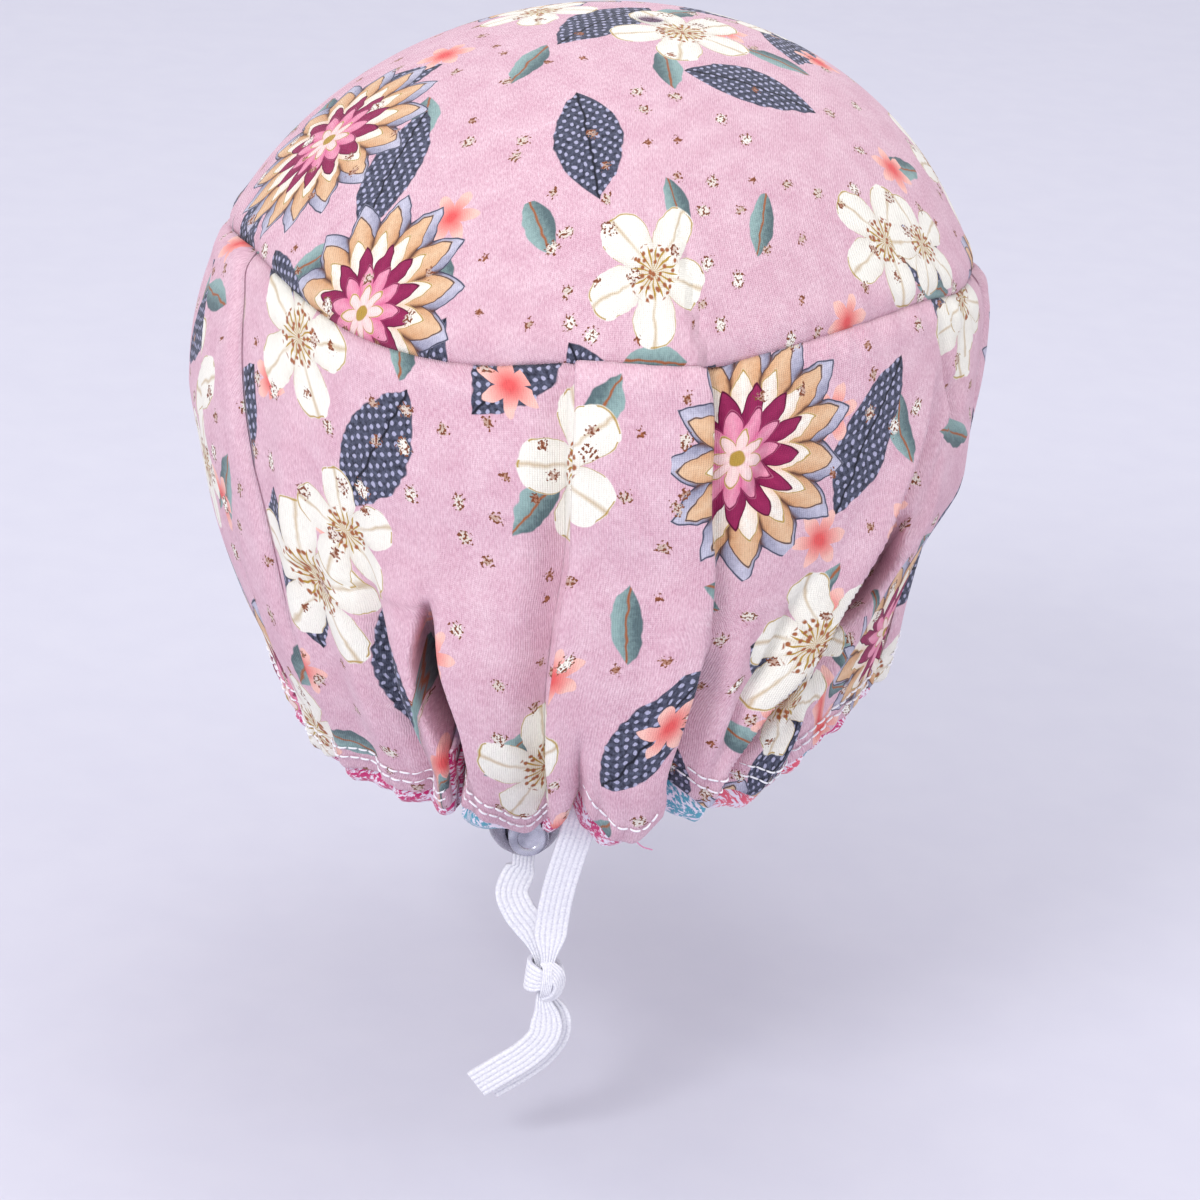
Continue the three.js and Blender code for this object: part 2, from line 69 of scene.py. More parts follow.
# %% Place the camera
view_azimuth, view_elevation, view_roll = math.radians(-8.1), math.radians(22.5), math.radians(4.7)
view_distance, view_lens, sensor_width = 900 * mm, 108, 36
aim_right, aim_down, aim_height = 9.17 * mm, 35.94 * mm, -109.5 * mm


def in_scene(name, data):
    made = bpy.data.objects.new(name, data)
    bpy.context.collection.objects.link(made)
    return made


camera_data = bpy.data.cameras.new("camera")
camera_data.lens, camera_data.sensor_width = view_lens, sensor_width
camera = in_scene("camera", camera_data)
camera.matrix_world = (
    Matrix.Translation((0, 0, aim_height)) @ Matrix.Rotation(view_azimuth, 4, "Z")
    @ Matrix.Rotation(math.pi / 2 - view_elevation, 4, "X") @ Matrix.Translation((aim_right, -aim_down, 0))
    @ Matrix.Rotation(view_roll, 4, "Z") @ Matrix.Translation((0, 0, view_distance)))
bpy.context.scene.camera = camera
print("camera at", [round(value, 3) for value in camera.location])

# %% [markdown]
# ## Making a mesh from rows of points
# Nearly every piece here is a grid: rows of points round a band, a tube or a turned form.
# One helper joins such a grid with four-sided faces. Another one puts a mesh in the scene,
# smooths it and hides the nodes of the frame that it stands in for. A few more measure lengths,
# ease one value into another and keep a number for each point.

# %% Grids and pieces
def grid_faces(rows, columns, first=0, round_columns=False, flip=False):
    spans = columns if round_columns else columns - 1
    row, column = np.meshgrid(np.arange(rows - 1), np.arange(spans), indexing="ij")
    beside = (column + 1) % columns
    corners = np.stack([row * columns + column, (row + 1) * columns + column,
                        (row + 1) * columns + beside, row * columns + beside], -1).reshape(-1, 4) + first
    return corners[:, ::-1] if flip else corners


def closed_tube(rows, around):
    """Faces over rings of points, closed at each end by one more point."""
    last_ring, start, end = (rows - 1) * around, rows * around, rows * around + 1
    sides = [(i, (i + 1) % around) for i in range(around)]
    return [*grid_faces(rows, around, round_columns=True, flip=True), *((start, i, j) for i, j in sides),
            *((end, last_ring + j, last_ring + i) for i, j in sides)]


def joined(parts):
    """Several meshes as one: a list of points and a list of faces."""
    points, faces = [], []
    for part_points, part_faces in parts:
        faces.extend([i + len(points) for i in face] for face in part_faces)
        points.extend(part_points)
    return points, faces


def new_piece(name, points, faces, nodes, slot, body="cap", smooth_below=None):
    mesh = bpy.data.meshes.new(name)
    mesh.from_pydata([tuple(point) for point in points], [], [tuple(int(i) for i in face) for face in faces])
    mesh.validate()
    mesh.shade_smooth()
    if smooth_below is not None:
        mesh.set_sharp_from_angle(angle=math.radians(smooth_below))
    piece = in_scene(name, mesh)
    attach(piece, body)
    if nodes:
        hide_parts(*nodes)
    print(name, "has", len(mesh.vertices), "points and", len(mesh.polygons), "faces")
    return piece


def store(piece, name, values):
    """Keep one number for each point of a piece, for its material."""
    numbers = piece.data.attributes.new(name, "FLOAT", "POINT")
    numbers.data.foreach_set("value", np.asarray(values, np.float32))


def unit(vectors):
    return vectors / np.maximum(np.linalg.norm(vectors, axis=-1, keepdims=True), 1e-12)


def steps_between(points, axis=0):
    return np.linalg.norm(np.diff(points, axis=axis), axis=-1)


def summed(steps, axis=0):
    """Running sums that start from zero."""
    return np.insert(np.cumsum(steps, axis=axis), 0, 0, axis=axis)


def way_along(points):
    """How far along a line each of its points lies."""
    return summed(steps_between(points))


def evened(rows, share):
    """Each row of numbers drawn towards its own mean."""
    return rows * (1 - share) + rows.mean(axis=1, keepdims=True) * share


def points_at(places, way, points):
    return np.stack([np.interp(places, way, points[:, axis]) for axis in range(3)], -1)


def ease(start, end, x):
    t = np.clip((np.asarray(x, float) - start) / (end - start), 0, 1)
    return t * t * (3 - 2 * t)


def smooth_step(t, gap, low, high, low_slope, high_slope):
    """From one value to the next along a cubic that keeps the slope at both."""
    return ((2 * t**3 - 3 * t**2 + 1) * low + (t**3 - 2 * t**2 + t) * gap * low_slope
            + (3 * t**2 - 2 * t**3) * high + (t**3 - t**2) * gap * high_slope)


# %% [markdown]
# ## The flat elastic
# The drawcord is a ribbed flat elastic, 8 mm wide. Its two ends come out of the hem, one
# runs through the ball lock, and both are tied in one knot with two free tails. A curve
# with a bevel would be quick, but it can't squeeze the elastic where the lock grips it. So
# the elastic is a tube of our own: a ribbed outline carried along a smooth route, with its
# flat side kept towards the back of the cap.

# %% Routes of the elastic
knot_middle = np.array((-8.4, -82, -212.6)) * mm
lock_centre = np.array((-15, -74, -174.5)) * mm
left_route = np.array([
    # out of the hem and through the lock
    (-25.1, -95.6, -160), (-22.5, -93.5, -159.3), (-19, -88, -158.8), (-16.3, -81.5, -160), (-15, -77.6, -162.8),
    (-15, -77, -165), (-15, -77, -170), (-15, -77, -174.5), (-15, -77, -179),
    # down to the knot
    (-15, -77, -184.2), (-15.1, -77.1, -186), (-16.4, -77.6, -188.6), (-17.4, -78.4, -192), (-15.5, -79.4, -196.5),
    (-12, -80.3, -201), (-9.8, -81, -207.4), tuple(knot_middle / mm),
    # the front tail
    (-8.4, -83.3, -218.3), (-7.4, -83.6, -223), (-7.6, -83.6, -228), (-11.5, -83.2, -233.4), (-17.2, -82.8, -238),
    (-23, -82.4, -242.4)]) * mm
right_route = np.array([
    # out of the hem and down to the knot
    (-3.2, -95.8, -155.2), (-3.6, -93.4, -160), (-4.8, -92, -169), (-6.2, -88.8, -179), (-7.3, -86.2, -188),
    (-7.9, -84.4, -197), (-8.1, -83.6, -207.3), tuple(knot_middle / mm),
    # the back tail
    (-7.4, -80.6, -218.3), (-5.2, -80.8, -223.6), (-4.8, -80.8, -229), (-8.2, -80.6, -235), (-14, -80.4, -240),
    (-19.6, -80.2, -244)]) * mm


def smooth_route(points, spacing, samples=40):
    """Points at an even spacing on a smooth curve through the given ones."""
    ahead = summed(steps_between(points) ** 0.5)
    slopes = np.gradient(points, ahead, axis=0)
    dense = []
    for i in range(len(points) - 1):
        t = np.linspace(0, 1, samples, endpoint=i == len(points) - 2)[:, None]
        dense.append(smooth_step(t, ahead[i + 1] - ahead[i], *points[i:i + 2], *slopes[i:i + 2]))
    dense = np.concatenate(dense)
    way = way_along(dense)
    return points_at(np.linspace(0, way[-1], max(4, round(way[-1] / spacing)) + 1), way, dense)


left_path, right_path = smooth_route(left_route, 0.8 * mm), smooth_route(right_route, 0.8 * mm)
left_length, right_length = float(way_along(left_path)[-1]), float(way_along(right_path)[-1])
print("left elastic", round(left_length, 4), "m, right elastic", round(right_length, 4), "m")

# %% A ribbed ribbon along a route
elastic_width, elastic_thickness = 8 * mm, 1.2 * mm
gripped_width, gripped_thickness = 5.4 * mm, 2.2 * mm
knotted_width, knotted_thickness = 3.4 * mm, 2.4 * mm
elastic_ribs, smooth_ribs_below = 6, 60


def ribbed_outline(around=96):
    """Round a flat elastic from one edge to the other and back; both its faces are ribbed."""
    share = (np.arange(around // 2) + 0.5) / (around // 2)
    valley = 0.6
    rib = valley + (1 - valley) * np.sqrt(np.maximum(0, 1 - (2 * (share * elastic_ribs % 1) - 1) ** 2))
    x = 1 - 2 * share
    y = rib * (1 - 0.35 * np.abs(x) ** 10)
    return np.concatenate([x, -x]), np.concatenate([y, -y]), np.tile((1 - rib) / (1 - valley), 2)


def round_outline(around=10):
    bend = np.linspace(0, full_turn, around, endpoint=False)
    return np.cos(bend), np.sin(bend)


def ribbon(path, widths, thicknesses, outline, flat_towards=(0, -1, 0), turns_at_once=0.35):
    """Carry an outline along a path, with its flat side kept towards one way."""
    widths, thicknesses = (np.broadcast_to(size, len(path))[:, None, None] for size in (widths, thicknesses))
    along = unit(np.gradient(path, axis=0))
    across = unit(np.cross(along, np.asarray(flat_towards, float)))
    for i in range(1, len(across)):
        blended = across[i] * turns_at_once + across[i - 1] * (1 - turns_at_once)
        across[i] = unit(blended - along[i] * np.dot(blended, along[i]))
    facing = np.cross(across, along)
    x, y = (side[None, :, None] for side in outline[:2])
    rings = path[:, None] + across[:, None] * x * widths / 2 + facing[:, None] * y * thicknesses / 2
    points = np.concatenate([rings.reshape(-1, 3), path[:1], path[-1:]])
    return points, closed_tube(len(path), x.size)


def ribbon_sizes(path, squeezed):
    """Width and thickness along a path, squeezed in the lock and bunched near the knot."""
    width = elastic_width + (gripped_width - elastic_width) * squeezed
    thickness = elastic_thickness + (gripped_thickness - elastic_thickness) * squeezed
    knotted = 1 - ease(4.5 * mm, 13 * mm, np.abs(path[:, 2] - knot_middle[2]))
    return width + (knotted_width - width) * knotted, thickness + (knotted_thickness - thickness) * knotted


elastic_section = ribbed_outline()


def groove_shade_depths(path):
    """How deep between two ribs each point of a ribbon lies; the material paints shade there, a little darker."""
    return np.concatenate([np.tile(elastic_section[2], len(path)), [0, 0]])


def elastic(name, path, squeezed, nodes):
    piece = new_piece(name, *ribbon(path, *ribbon_sizes(path, squeezed), elastic_section), nodes,
                      "white_elastic", smooth_below=smooth_ribs_below)
    # groove depths kept for the painted shade between the ribs
    store(piece, "groove", groove_shade_depths(path))
    return piece


in_grip = ease(-187.5 * mm, -185 * mm, left_path[:, 2]) * (left_path[:, 0] > -19 * mm)
in_feed = ease(-26 * mm, -19 * mm, left_path[:, 0]) * (left_path[:, 2] > -186 * mm)
elastic_left = elastic("drawcord_left", left_path, np.maximum(in_grip, in_feed),
                       ["elastic_feed", "elastic_in_lock", "elastic_left", "elastic_tail_front"])
elastic_right = elastic("drawcord_right", right_path, 0, ["elastic_right", "elastic_tail_back"])

# %% [markdown]
# ## The knot
# Both ends are tied together in one knot. A real knot is one strand going round itself, but
# only its outside shows. So we lay the four wraps that show on top of the bunched strands:
# one round the left, one down the right and two more between and behind them. Each is the
# same ribbon, kept flat against the knot, with ends that grow narrow where they tuck in.

# %% Tie the knot
def knot_wrap(width, thickness, *route):
    path = smooth_route(np.array(route) * mm, 0.3 * mm)
    outward = unit(path * [1, 1, 0.35])
    tuck_in = 0.45 + 0.55 * np.sin(np.pi * np.clip(np.linspace(0, 1, len(path)), 0.06, 0.94)) ** 0.6
    knot_groove_shades.append(groove_shade_depths(path))
    return ribbon(path + knot_middle, width * mm * tuck_in, thickness * mm * (0.6 + 0.4 * tuck_in),
                  elastic_section, outward)


knot_groove_shades = []
knot_wraps = [
    knot_wrap(8.2, 1.3, (1.4, 2.2, 1), (-1.6, 2.9, 0.9), (-3.7, 1.2, 0.8), (-4, -1.2, 0.7), (-2.4, -3, 0.5),
              (-0.2, -3.2, 0.2)),
    knot_wrap(4.6, 1.3, (-0.4, -1.8, 4.9), (0.9, -2.9, 3.6), (2.7, -3, 1.4), (3.3, -2.6, -1.4),
              (2.2, -2.8, -3.9), (0, -2.4, -5.4)),
    knot_wrap(5.5, 1.3, (1.2, 2.4, 3.2), (3.3, 1.2, 1.4), (3.6, 0.4, -1.8), (1.6, 1.8, -4.2), (-0.6, 2, -5)),
    knot_wrap(2.7, 1.5, (0.1, -2, 4.8), (0.2, -3.5, 3), (0.2, -4.2, 0.2), (0, -3.5, -2.8), (-0.3, -2, -4.6))]
knot = new_piece("drawcord_knot", *joined(knot_wraps), ["elastic_knot"], "white_elastic",
                 smooth_below=smooth_ribs_below)
store(knot, "groove", np.concatenate(knot_groove_shades))

# %% [markdown]
# ## The form of the cap
# The cap is an ellipse at each level, with folds added on top. We keep the sizes and the
# short tables that the frame was made from, and read each table with one smooth curve
# through its rows. All the cloth is then made from three questions: where is the seam,
# where is the hem, and how far does the cloth stand off at this angle and height?

# %% Sizes and tables
half_width, back_depth, front_depth = 99.5 * mm, 116 * mm, 110 * mm
dome_height, lower_height, crown_lean, dome_power = 91.5 * mm, 85 * mm, 10 * mm, 2.05
widest_z = 1.8 * mm - dome_height
cloth_thickness = 0.9 * mm


def table(columns, *rows):
    """A table as one array for each named column."""
    return dict(zip(columns.split(), np.array(rows, float).T))


def band(soft_first, soft_last, *rows):
    """Cloth that is raised or sunk between two edges. It has a softness in degrees for each
    edge and one row for each share of the way down: the edges' angles and the height in mm."""
    return soft_first, soft_last, table("down first last height", *rows)


levels = table(
    "drop side back front sway",
    (0, 0.985, 0.985, 1, 0.015), (0.05, 0.98, 0.987, 0.999, 0.011), (0.2, 0.93, 0.998, 0.985, -0.012),
    (0.4, 0.882, 0.997, 0.96, -0.02), (0.6, 0.83, 0.97, 0.93, -0.008), (0.75, 0.785, 0.925, 0.9, 0.01),
    (0.87, 0.745, 0.865, 0.87, 0.004), (0.95, 0.72, 0.81, 0.85, 0), (1, 0.7, 0.77, 0.84, 0),
    (1.15, 0.65, 0.69, 0.81, 0))
crown_seam = table(
    "angle rise",
    (-180, 0.28), (-140, 0.29), (-100, 0.35), (-79, 0.415), (-65, 0.414), (-47, 0.382), (-37, 0.378),
    (-25, 0.392), (-12, 0.429), (6.5, 0.432), (15, 0.455), (25, 0.477), (37, 0.491), (50, 0.488), (62, 0.453),
    (80, 0.413), (100, 0.345), (140, 0.29), (180, 0.28))
hem_edge = table(
    "angle drop",
    (-180, 0.155), (-174, 0.161), (-160, 0.232), (-140, 0.39), (-100, 0.78), (-75, 0.89), (-58, 0.915),
    (-50, 0.878), (-39, 0.872), (-30, 0.885), (-25.5, 0.825), (-20, 0.866), (-13, 0.95), (-9, 0.838),
    (-5.6, 0.752), (-1.8, 0.805), (1.6, 0.824), (5, 0.816), (9, 0.72), (16, 0.762), (22, 0.748), (29, 0.78),
    (36, 0.705), (43, 0.66), (52, 0.648), (64, 0.652), (76, 0.655), (100, 0.6), (140, 0.33), (160, 0.215),
    (174, 0.16), (180, 0.155))
running_lines = table(
    "down left_seam strip_left strip_right right_seam",
    (0, -76, -11.4, 6.5, 80), (0.1, -69, -10.2, 7.8, 78), (0.25, -62, -9.3, 7.9, 74),
    (0.38, -58, -8.8, 8.7, 70), (0.5, -56, -8.6, 10.3, 66), (0.6, -55, -8.7, 12.6, 64),
    (0.75, -54, -9.8, 10.9, 62), (0.9, -53, -10.4, 8.8, 61), (1, -53, -9.2, 8.4, 60))
folds = [
    # the lips of the deep pocket left of the pleat
    band(3, 1.3, (0.4, -34, -29, 0), (0.6, -33, -29.4, 2.2), (0.7, -32.4, -29.2, 3), (0.8, -31, -27.8, 3),
         (0.9, -30.4, -27.2, 2.6), (1, -30.4, -27.4, 1.6)),
    band(1.3, 8, (0.45, -26, -18, 0), (0.63, -25.6, -18, 2.6), (0.78, -23.2, -17, 3.4),
         (0.88, -23.4, -17.2, 3.2), (1, -25.4, -18, 2.8)),
    # the valley and the ridges further to the left
    band(3.4, 3.4, (0.34, -40, -37.5, 0), (0.52, -38.2, -35.6, -3.6), (0.68, -36.2, -34, -5),
         (0.81, -34.4, -32, -5), (1, -34.2, -32, -3.6)),
    band(6, 4, (0.3, -45, -42, 0), (0.52, -44, -40.5, 2), (0.81, -42, -37.5, 2.4), (1, -41, -37, 1.8)),
    band(7, 6, (0.1, -54, -52, 0), (0.35, -52, -49, 3.2), (0.8, -52, -48, 4), (1, -52, -47.5, 3.4)),
    # the cloth dips under both edges of the pleat
    band(6, 1, (0, -15.4, -12, -1.6), (0.25, -13.4, -9.9, -3.8), (0.5, -13, -9.2, -4.8),
         (0.75, -13.8, -10.4, -5), (0.9, -14, -11, -3.8), (1, -13.2, -9.8, -2)),
    band(1, 5, (0, 7.1, 9.6, -1.2), (0.25, 8.5, 11.4, -2), (0.38, 9.3, 12.2, -2), (0.5, 10.9, 13, -1),
         (0.6, 13, 15, 0)),
    # the dip and the arch at the foot of the pleat
    band(2, 3, (0.78, -5.2, -4.2, 0), (0.9, -6.2, -4.6, -4), (1, -7, -5, -6)),
    band(3, 4, (0.72, -1, 3, 0), (0.86, -1.4, 4, 2.6), (1, -1, 5, 2.8)),
    # the pleat stands proud of the cloth on its right
    band(5, 1.2, (0.3, 3, 8.2, 0), (0.58, 5, 11.4, 1.8), (0.78, 4, 10, 2.6), (0.91, 3.6, 7.8, 2.6),
         (1, 3.4, 8, 2)),
    band(1.6, 6, (0.45, 10.2, 12, 0), (0.62, 11.6, 14, -2.6), (0.78, 10.4, 13.6, -5), (0.91, 8.4, 11.6, -6),
         (1, 8.6, 11.6, -5)),
    band(4, 4, (0.12, 15.6, 17.2, 0), (0.21, 15.2, 17.8, -3.6), (0.26, 14.2, 16.6, -3), (0.35, 11.4, 12.6, 0)),
    band(5, 4, (0.5, 17, 19, 0), (0.7, 16.4, 18.6, 2.2), (1, 15, 17.2, 2)),
    band(3, 3, (0.46, 25.6, 27, 0), (0.56, 24.4, 26, -2.4), (0.67, 22.8, 24.4, -3.4),
         (0.76, 19.6, 21.2, -3.2), (0.88, 16.6, 18, -2.4), (1, 14, 15.4, -1.4)),
    # the long fold on the right: its cloth overlaps a deep hollow
    band(9, 1.2, (0.14, 46, 49, 0), (0.3, 39, 43, 1.6), (0.39, 34.2, 38.4, 2.6), (0.47, 31, 35.6, 3.2),
         (0.55, 29.4, 34.2, 3.8), (0.62, 27.8, 32.4, 4.2), (0.67, 26.6, 31.2, 4.2), (0.71, 24.8, 28.8, 4),
         (0.765, 22.4, 25.4, 3.6), (0.82, 20.8, 23.4, 3.2), (0.885, 18.8, 21.2, 2.6), (0.94, 16.4, 18.6, 2.2),
         (1, 15, 17, 1.6)),
    band(1.2, 5, (0.14, 49.4, 52, 0), (0.3, 43.4, 47, -2.6), (0.39, 38.8, 42.4, -4.4), (0.47, 36, 39.4, -5.4),
         (0.55, 34.6, 38.2, -6), (0.62, 32.8, 37, -6), (0.67, 31.6, 36, -6), (0.71, 29.2, 33.4, -5.6),
         (0.765, 25.8, 29.8, -5), (0.82, 23.8, 27.2, -4.4), (0.885, 21.6, 24.2, -4), (0.94, 19, 21.2, -3.4),
         (1, 17.4, 19.4, -2.8)),
    band(4, 6, (0.2, 52, 55, 0), (0.4, 46.6, 49, 2.4), (0.58, 41.4, 44.6, 3.4), (0.72, 38, 41.4, 3.4),
         (0.79, 33.6, 37.4, 3.2), (0.85, 30.6, 34.2, 3), (0.93, 26.6, 30.4, 2.6), (1, 24, 27.6, 2)),
    band(3, 4, (0.02, 52, 53.4, 0), (0.12, 51.6, 53.6, -3.2), (0.24, 52.4, 54.4, -3.4), (0.36, 53.6, 55.2, 0)),
    band(3, 3, (0.62, 37, 39, 0), (0.78, 33.6, 35, -2.4), (0.9, 32, 33.4, -3.4), (1, 32, 33.4, -3.4)),
    band(1.4, 5, (0, 62.6, 66, -1), (0.21, 53.8, 57, -1.8), (0.37, 46.6, 50, -1), (0.5, 44, 46, 0)),
    # the sides and the front, with a broad dent on the right
    band(16, 16, (0.1, 66, 104, 0), (0.26, 65, 104, -3), (0.4, 64, 104, -5.4), (0.52, 63, 103, -5),
         (0.72, 62, 102, -3), (0.88, 62, 100, -1), (1, 62, 100, 0)),
    band(6, 6, (0.3, 66, 69, 0), (0.6, 60, 63, -3.2), (1, 54, 57, -3.6)),
    band(6, 6, (0.4, -69, -66, 0), (0.7, -68, -65, -3.4), (1, -67.5, -64.5, -3.8)),
    band(7, 7, (0.4, 86, 90, 0), (0.7, 84, 88, -3), (1, 83, 87, -3.4)),
    band(7, 7, (0.4, -92, -88, 0), (0.7, -91, -87, -3), (1, -90, -86, -3.4)),
    band(8, 8, (0.4, 108, 112, 0), (1, 106, 110, -2.4)),
    band(8, 8, (0.4, -114, -110, 0), (1, -112, -108, -2.4)),
    band(9, 9, (0.4, 142, 146, 0), (1, 140, 145, -2)),
    band(9, 9, (0.4, -146, -142, 0), (1, -145, -140, -2))]
# Pockets are narrow and deep, and each runs into the cap in its own direction
pockets = [
    (np.array((0.14, 0.99, 0)),
     band(0.9, 0.9, (0.49, -28.4, -27.2, 0), (0.56, -29, -26.6, 10), (0.62, -29.5, -25.9, 20),
          (0.7, -29.1, -24.7, 27), (0.78, -27.9, -23.5, 30), (0.86, -27, -23.5, 29), (0.94, -27.5, -25.3, 26),
          (1, -27.3, -25.5, 22))),
    (np.array((0.195, 0.9, -0.385)),
     band(0.9, 2.6, (0.43, 39.8, 42, 0), (0.49, 38.4, 41.6, 10), (0.55, 37.6, 41.4, 18),
          (0.62, 36.2, 39.8, 20), (0.67, 34.8, 37.8, 15), (0.71, 32.2, 34.6, 10), (0.765, 28.4, 30.2, 7),
          (0.82, 26, 27.4, 5), (0.885, 23.4, 24.6, 3), (0.94, 20.6, 21.5, 2), (1, 18.8, 19.5, 1)))]


def read(rows, key, value, at):
    """A smooth curve through one column of a table."""
    keys, values = rows[key], rows[value]
    nearby = np.arange(len(keys))
    before, after = np.maximum(nearby - 1, 0), np.minimum(nearby + 1, len(keys) - 1)
    slopes = (values[after] - values[before]) / (keys[after] - keys[before])
    at = np.clip(at, keys[0], keys[-1])
    i = np.clip(np.searchsorted(keys, at, side="right") - 1, 0, len(keys) - 2)
    gap = keys[i + 1] - keys[i]
    return smooth_step((at - keys[i]) / gap, gap, values[i], values[i + 1], slopes[i], slopes[i + 1])


def wrap(angle):
    return (np.asarray(angle, float) + 540) % 360 - 180


def seam_z(angle):
    return widest_z + dome_height * read(crown_seam, "angle", "rise", wrap(angle))


def hem_z(angle):
    return widest_z - lower_height * read(hem_edge, "angle", "drop", wrap(angle))


print("widest level", round(widest_z, 4), "m, nape hem", round(float(hem_z(-13)), 4), "m")

# %% The smooth form and its folds
def base_point(angle, z):
    rise = np.clip((z - widest_z) / dome_height, 0, 1)
    shrink = (1 - rise**dome_power) ** (1 / dome_power)
    drop = np.maximum(0, (widest_z - z) / lower_height)
    side, back, front, sway = (read(levels, "drop", name, drop) for name in ("side", "back", "front", "sway"))
    shift = half_width * sway * (1 - rise) ** 2 + crown_lean * rise**1.5
    turn = np.radians(angle)
    depth = np.where(np.cos(turn) > 0, back_depth * back, front_depth * front)
    return np.stack([shift + half_width * side * shrink * np.sin(turn), -depth * shrink * np.cos(turn), z], -1)


def base_normal(angle, z):
    """Square to the smooth form. The dome meets the lower part at the widest level, so the
    step that measures the slope grows there and rounds the corner off."""
    step_angle, step_z = 0.5, (0.2 + 5 * np.exp(-((z - widest_z) / (9 * mm)) ** 2)) * mm
    around = base_point(angle + step_angle, z) - base_point(angle - step_angle, z)
    upwards = base_point(angle, z + step_z) - base_point(angle, z - step_z)
    return unit(np.cross(around, upwards))


def share_down(angle, z):
    """How far down from the seam to the hem a place is, from 0 to 1."""
    seam = seam_z(angle)
    return (seam - z) / (seam - hem_z(angle))


def band_offset(fold, angle, z):
    soft_first, soft_last, rows = fold
    down = np.clip(share_down(angle, z), 0, 1)
    first, last, height = (read(rows, "down", name, down) for name in ("first", "last", "height"))
    inside = ease(-soft_first / 2, soft_first / 2, wrap(angle - first)) \
        * (1 - ease(-soft_last / 2, soft_last / 2, wrap(angle - last)))
    return height * mm * inside * ease(0, 0.03, down)


def fold_offset(angle, z):
    return sum(band_offset(fold, angle, z) for fold in folds)


def pocket_offset(angle, z):
    return sum(band_offset(fold, angle, z)[..., None] * inwards for inwards, fold in pockets)


def waves(angle, often, swing, swing_often, start=0):
    """Uneven waves round the cap: a sine whose place swings to and fro."""
    turn = np.radians(angle)
    return np.sin(turn * often + start + swing * np.sin(turn * swing_often))


def gathers(angle, z):
    """Small ripples that the elastic throws up near the hem."""
    ripple = waves(angle, 62, 2.1, 7) + 0.6 * waves(angle, 101, 1.3, 11)
    return 0.25 * mm * ripple * ease(0.78, 1, share_down(angle, z))


def seam_pucker(angle, z):
    """The seam pulls the cloth in, unevenly, on both of its sides."""
    away = np.abs(z - seam_z(angle)) / mm
    groove = -1.5 * (1 - np.clip(away / 3.4, 0, 1)) ** 2 + 0.35 * np.exp(-((away - 5) / 2.4) ** 2)
    return (groove + 0.28 * waves(angle, 74, 1.7, 13) * np.exp(-((away - 2.5) / 3.5) ** 2)) * mm


def cloth_point(angle, z, stand):
    offset = fold_offset(angle, z) + gathers(angle, z) + seam_pucker(angle, z) + stand
    return base_point(angle, z) + base_normal(angle, z) * offset[..., None] + pocket_offset(angle, z)


print(len(folds), "folds and", len(pockets), "pockets")

# %% [markdown]
# ## A sheet of jersey
# Cloth needs two faces and an edge. The Solidify modifier does that, but we also want to
# paint the print on the cut of the cloth, so each point has to know where it lay before it
# was sewn. The helper below makes both faces itself and stores that place in an attribute.
# The print then bends and breaks at folds as it does on the real cap.

# %% Make a sheet
def sheet_normals(middle, round_columns):
    if round_columns:
        across = np.roll(middle, -1, axis=1) - np.roll(middle, 1, axis=1)
    else:
        across = np.gradient(middle, axis=1)
    return unit(np.cross(across, -np.gradient(middle, axis=0)))


def rim(start, end, layer, flip):
    """Faces along an edge of the cloth, from its outer face to its inner one."""
    edge = np.stack([start, end, layer + end, layer + start], -1)
    return edge[:, ::-1] if flip else edge


def jersey_sheet(name, middle, cut_place, node, slot, thickness=cloth_thickness, round_columns=False):
    rows, columns = middle.shape[:2]
    layer = rows * columns
    half = sheet_normals(middle, round_columns) * thickness / 2
    points = np.concatenate([(middle + half).reshape(-1, 3), (middle - half).reshape(-1, 3)])
    faces = [grid_faces(rows, columns, 0, round_columns), grid_faces(rows, columns, layer, round_columns, flip=True)]
    run = np.arange(columns if round_columns else columns - 1)
    for row, flip in ((0, False), (rows - 1, True)):
        faces.append(rim(row * columns + run, row * columns + (run + 1) % columns, layer, flip))
    if not round_columns:
        run = np.arange(rows - 1) * columns
        for column, flip in ((0, False), (columns - 1, True)):
            faces.append(rim(run + column, run + columns + column, layer, flip))
    piece = new_piece(name, points, np.concatenate(faces), [node], slot)
    place = piece.data.attributes.new("cut_place", "FLOAT_VECTOR", "POINT")
    place.data.foreach_set("vector", np.concatenate([cut_place.reshape(-1, 3)] * 2).astype(np.float32).ravel())
    store(piece, "inside", np.repeat([0, 1], layer))
    areas = np.linalg.norm(np.cross(middle[1:, 1:] - middle[:-1, :-1], middle[:-1, 1:] - middle[1:, :-1]), axis=-1)
    print(name, "cloth area", round(float(areas.sum()) / 2, 4), "square metres")
    return piece


# %% [markdown]
# ## The pleats
# A pleat is cloth folded back under itself. At the centre back a strip lies on top of the
# panels on both its sides, like a flat tongue, and beside each side seam there is one more
# fold. We write the fold as a few stations across it: how many degrees past the fold's edge
# the cloth goes, and how high it lies there. The panel is then one grid whose columns go
# under, turn and come back on top.

# %% Stations across a fold
under_fold = table(
    "past height",
    (0.9, 0), (2, 0.02), (3, 0.1), (3.6, 0.4), (3.5, 0.85), (2.8, 1.15), (1.6, 1.2), (0.6, 1.25),
    (0.05, 1.45), (-0.12, 1.8), (0.02, 2.2), (0.4, 2.5), (1, 2.6))
left_columns, strip_columns, right_columns = 150, 30, 150
panel_rows, hem_rows = 100, 5
hem_roll = 1.3 * mm


def line(name, down):
    return read(running_lines, "down", name, down)


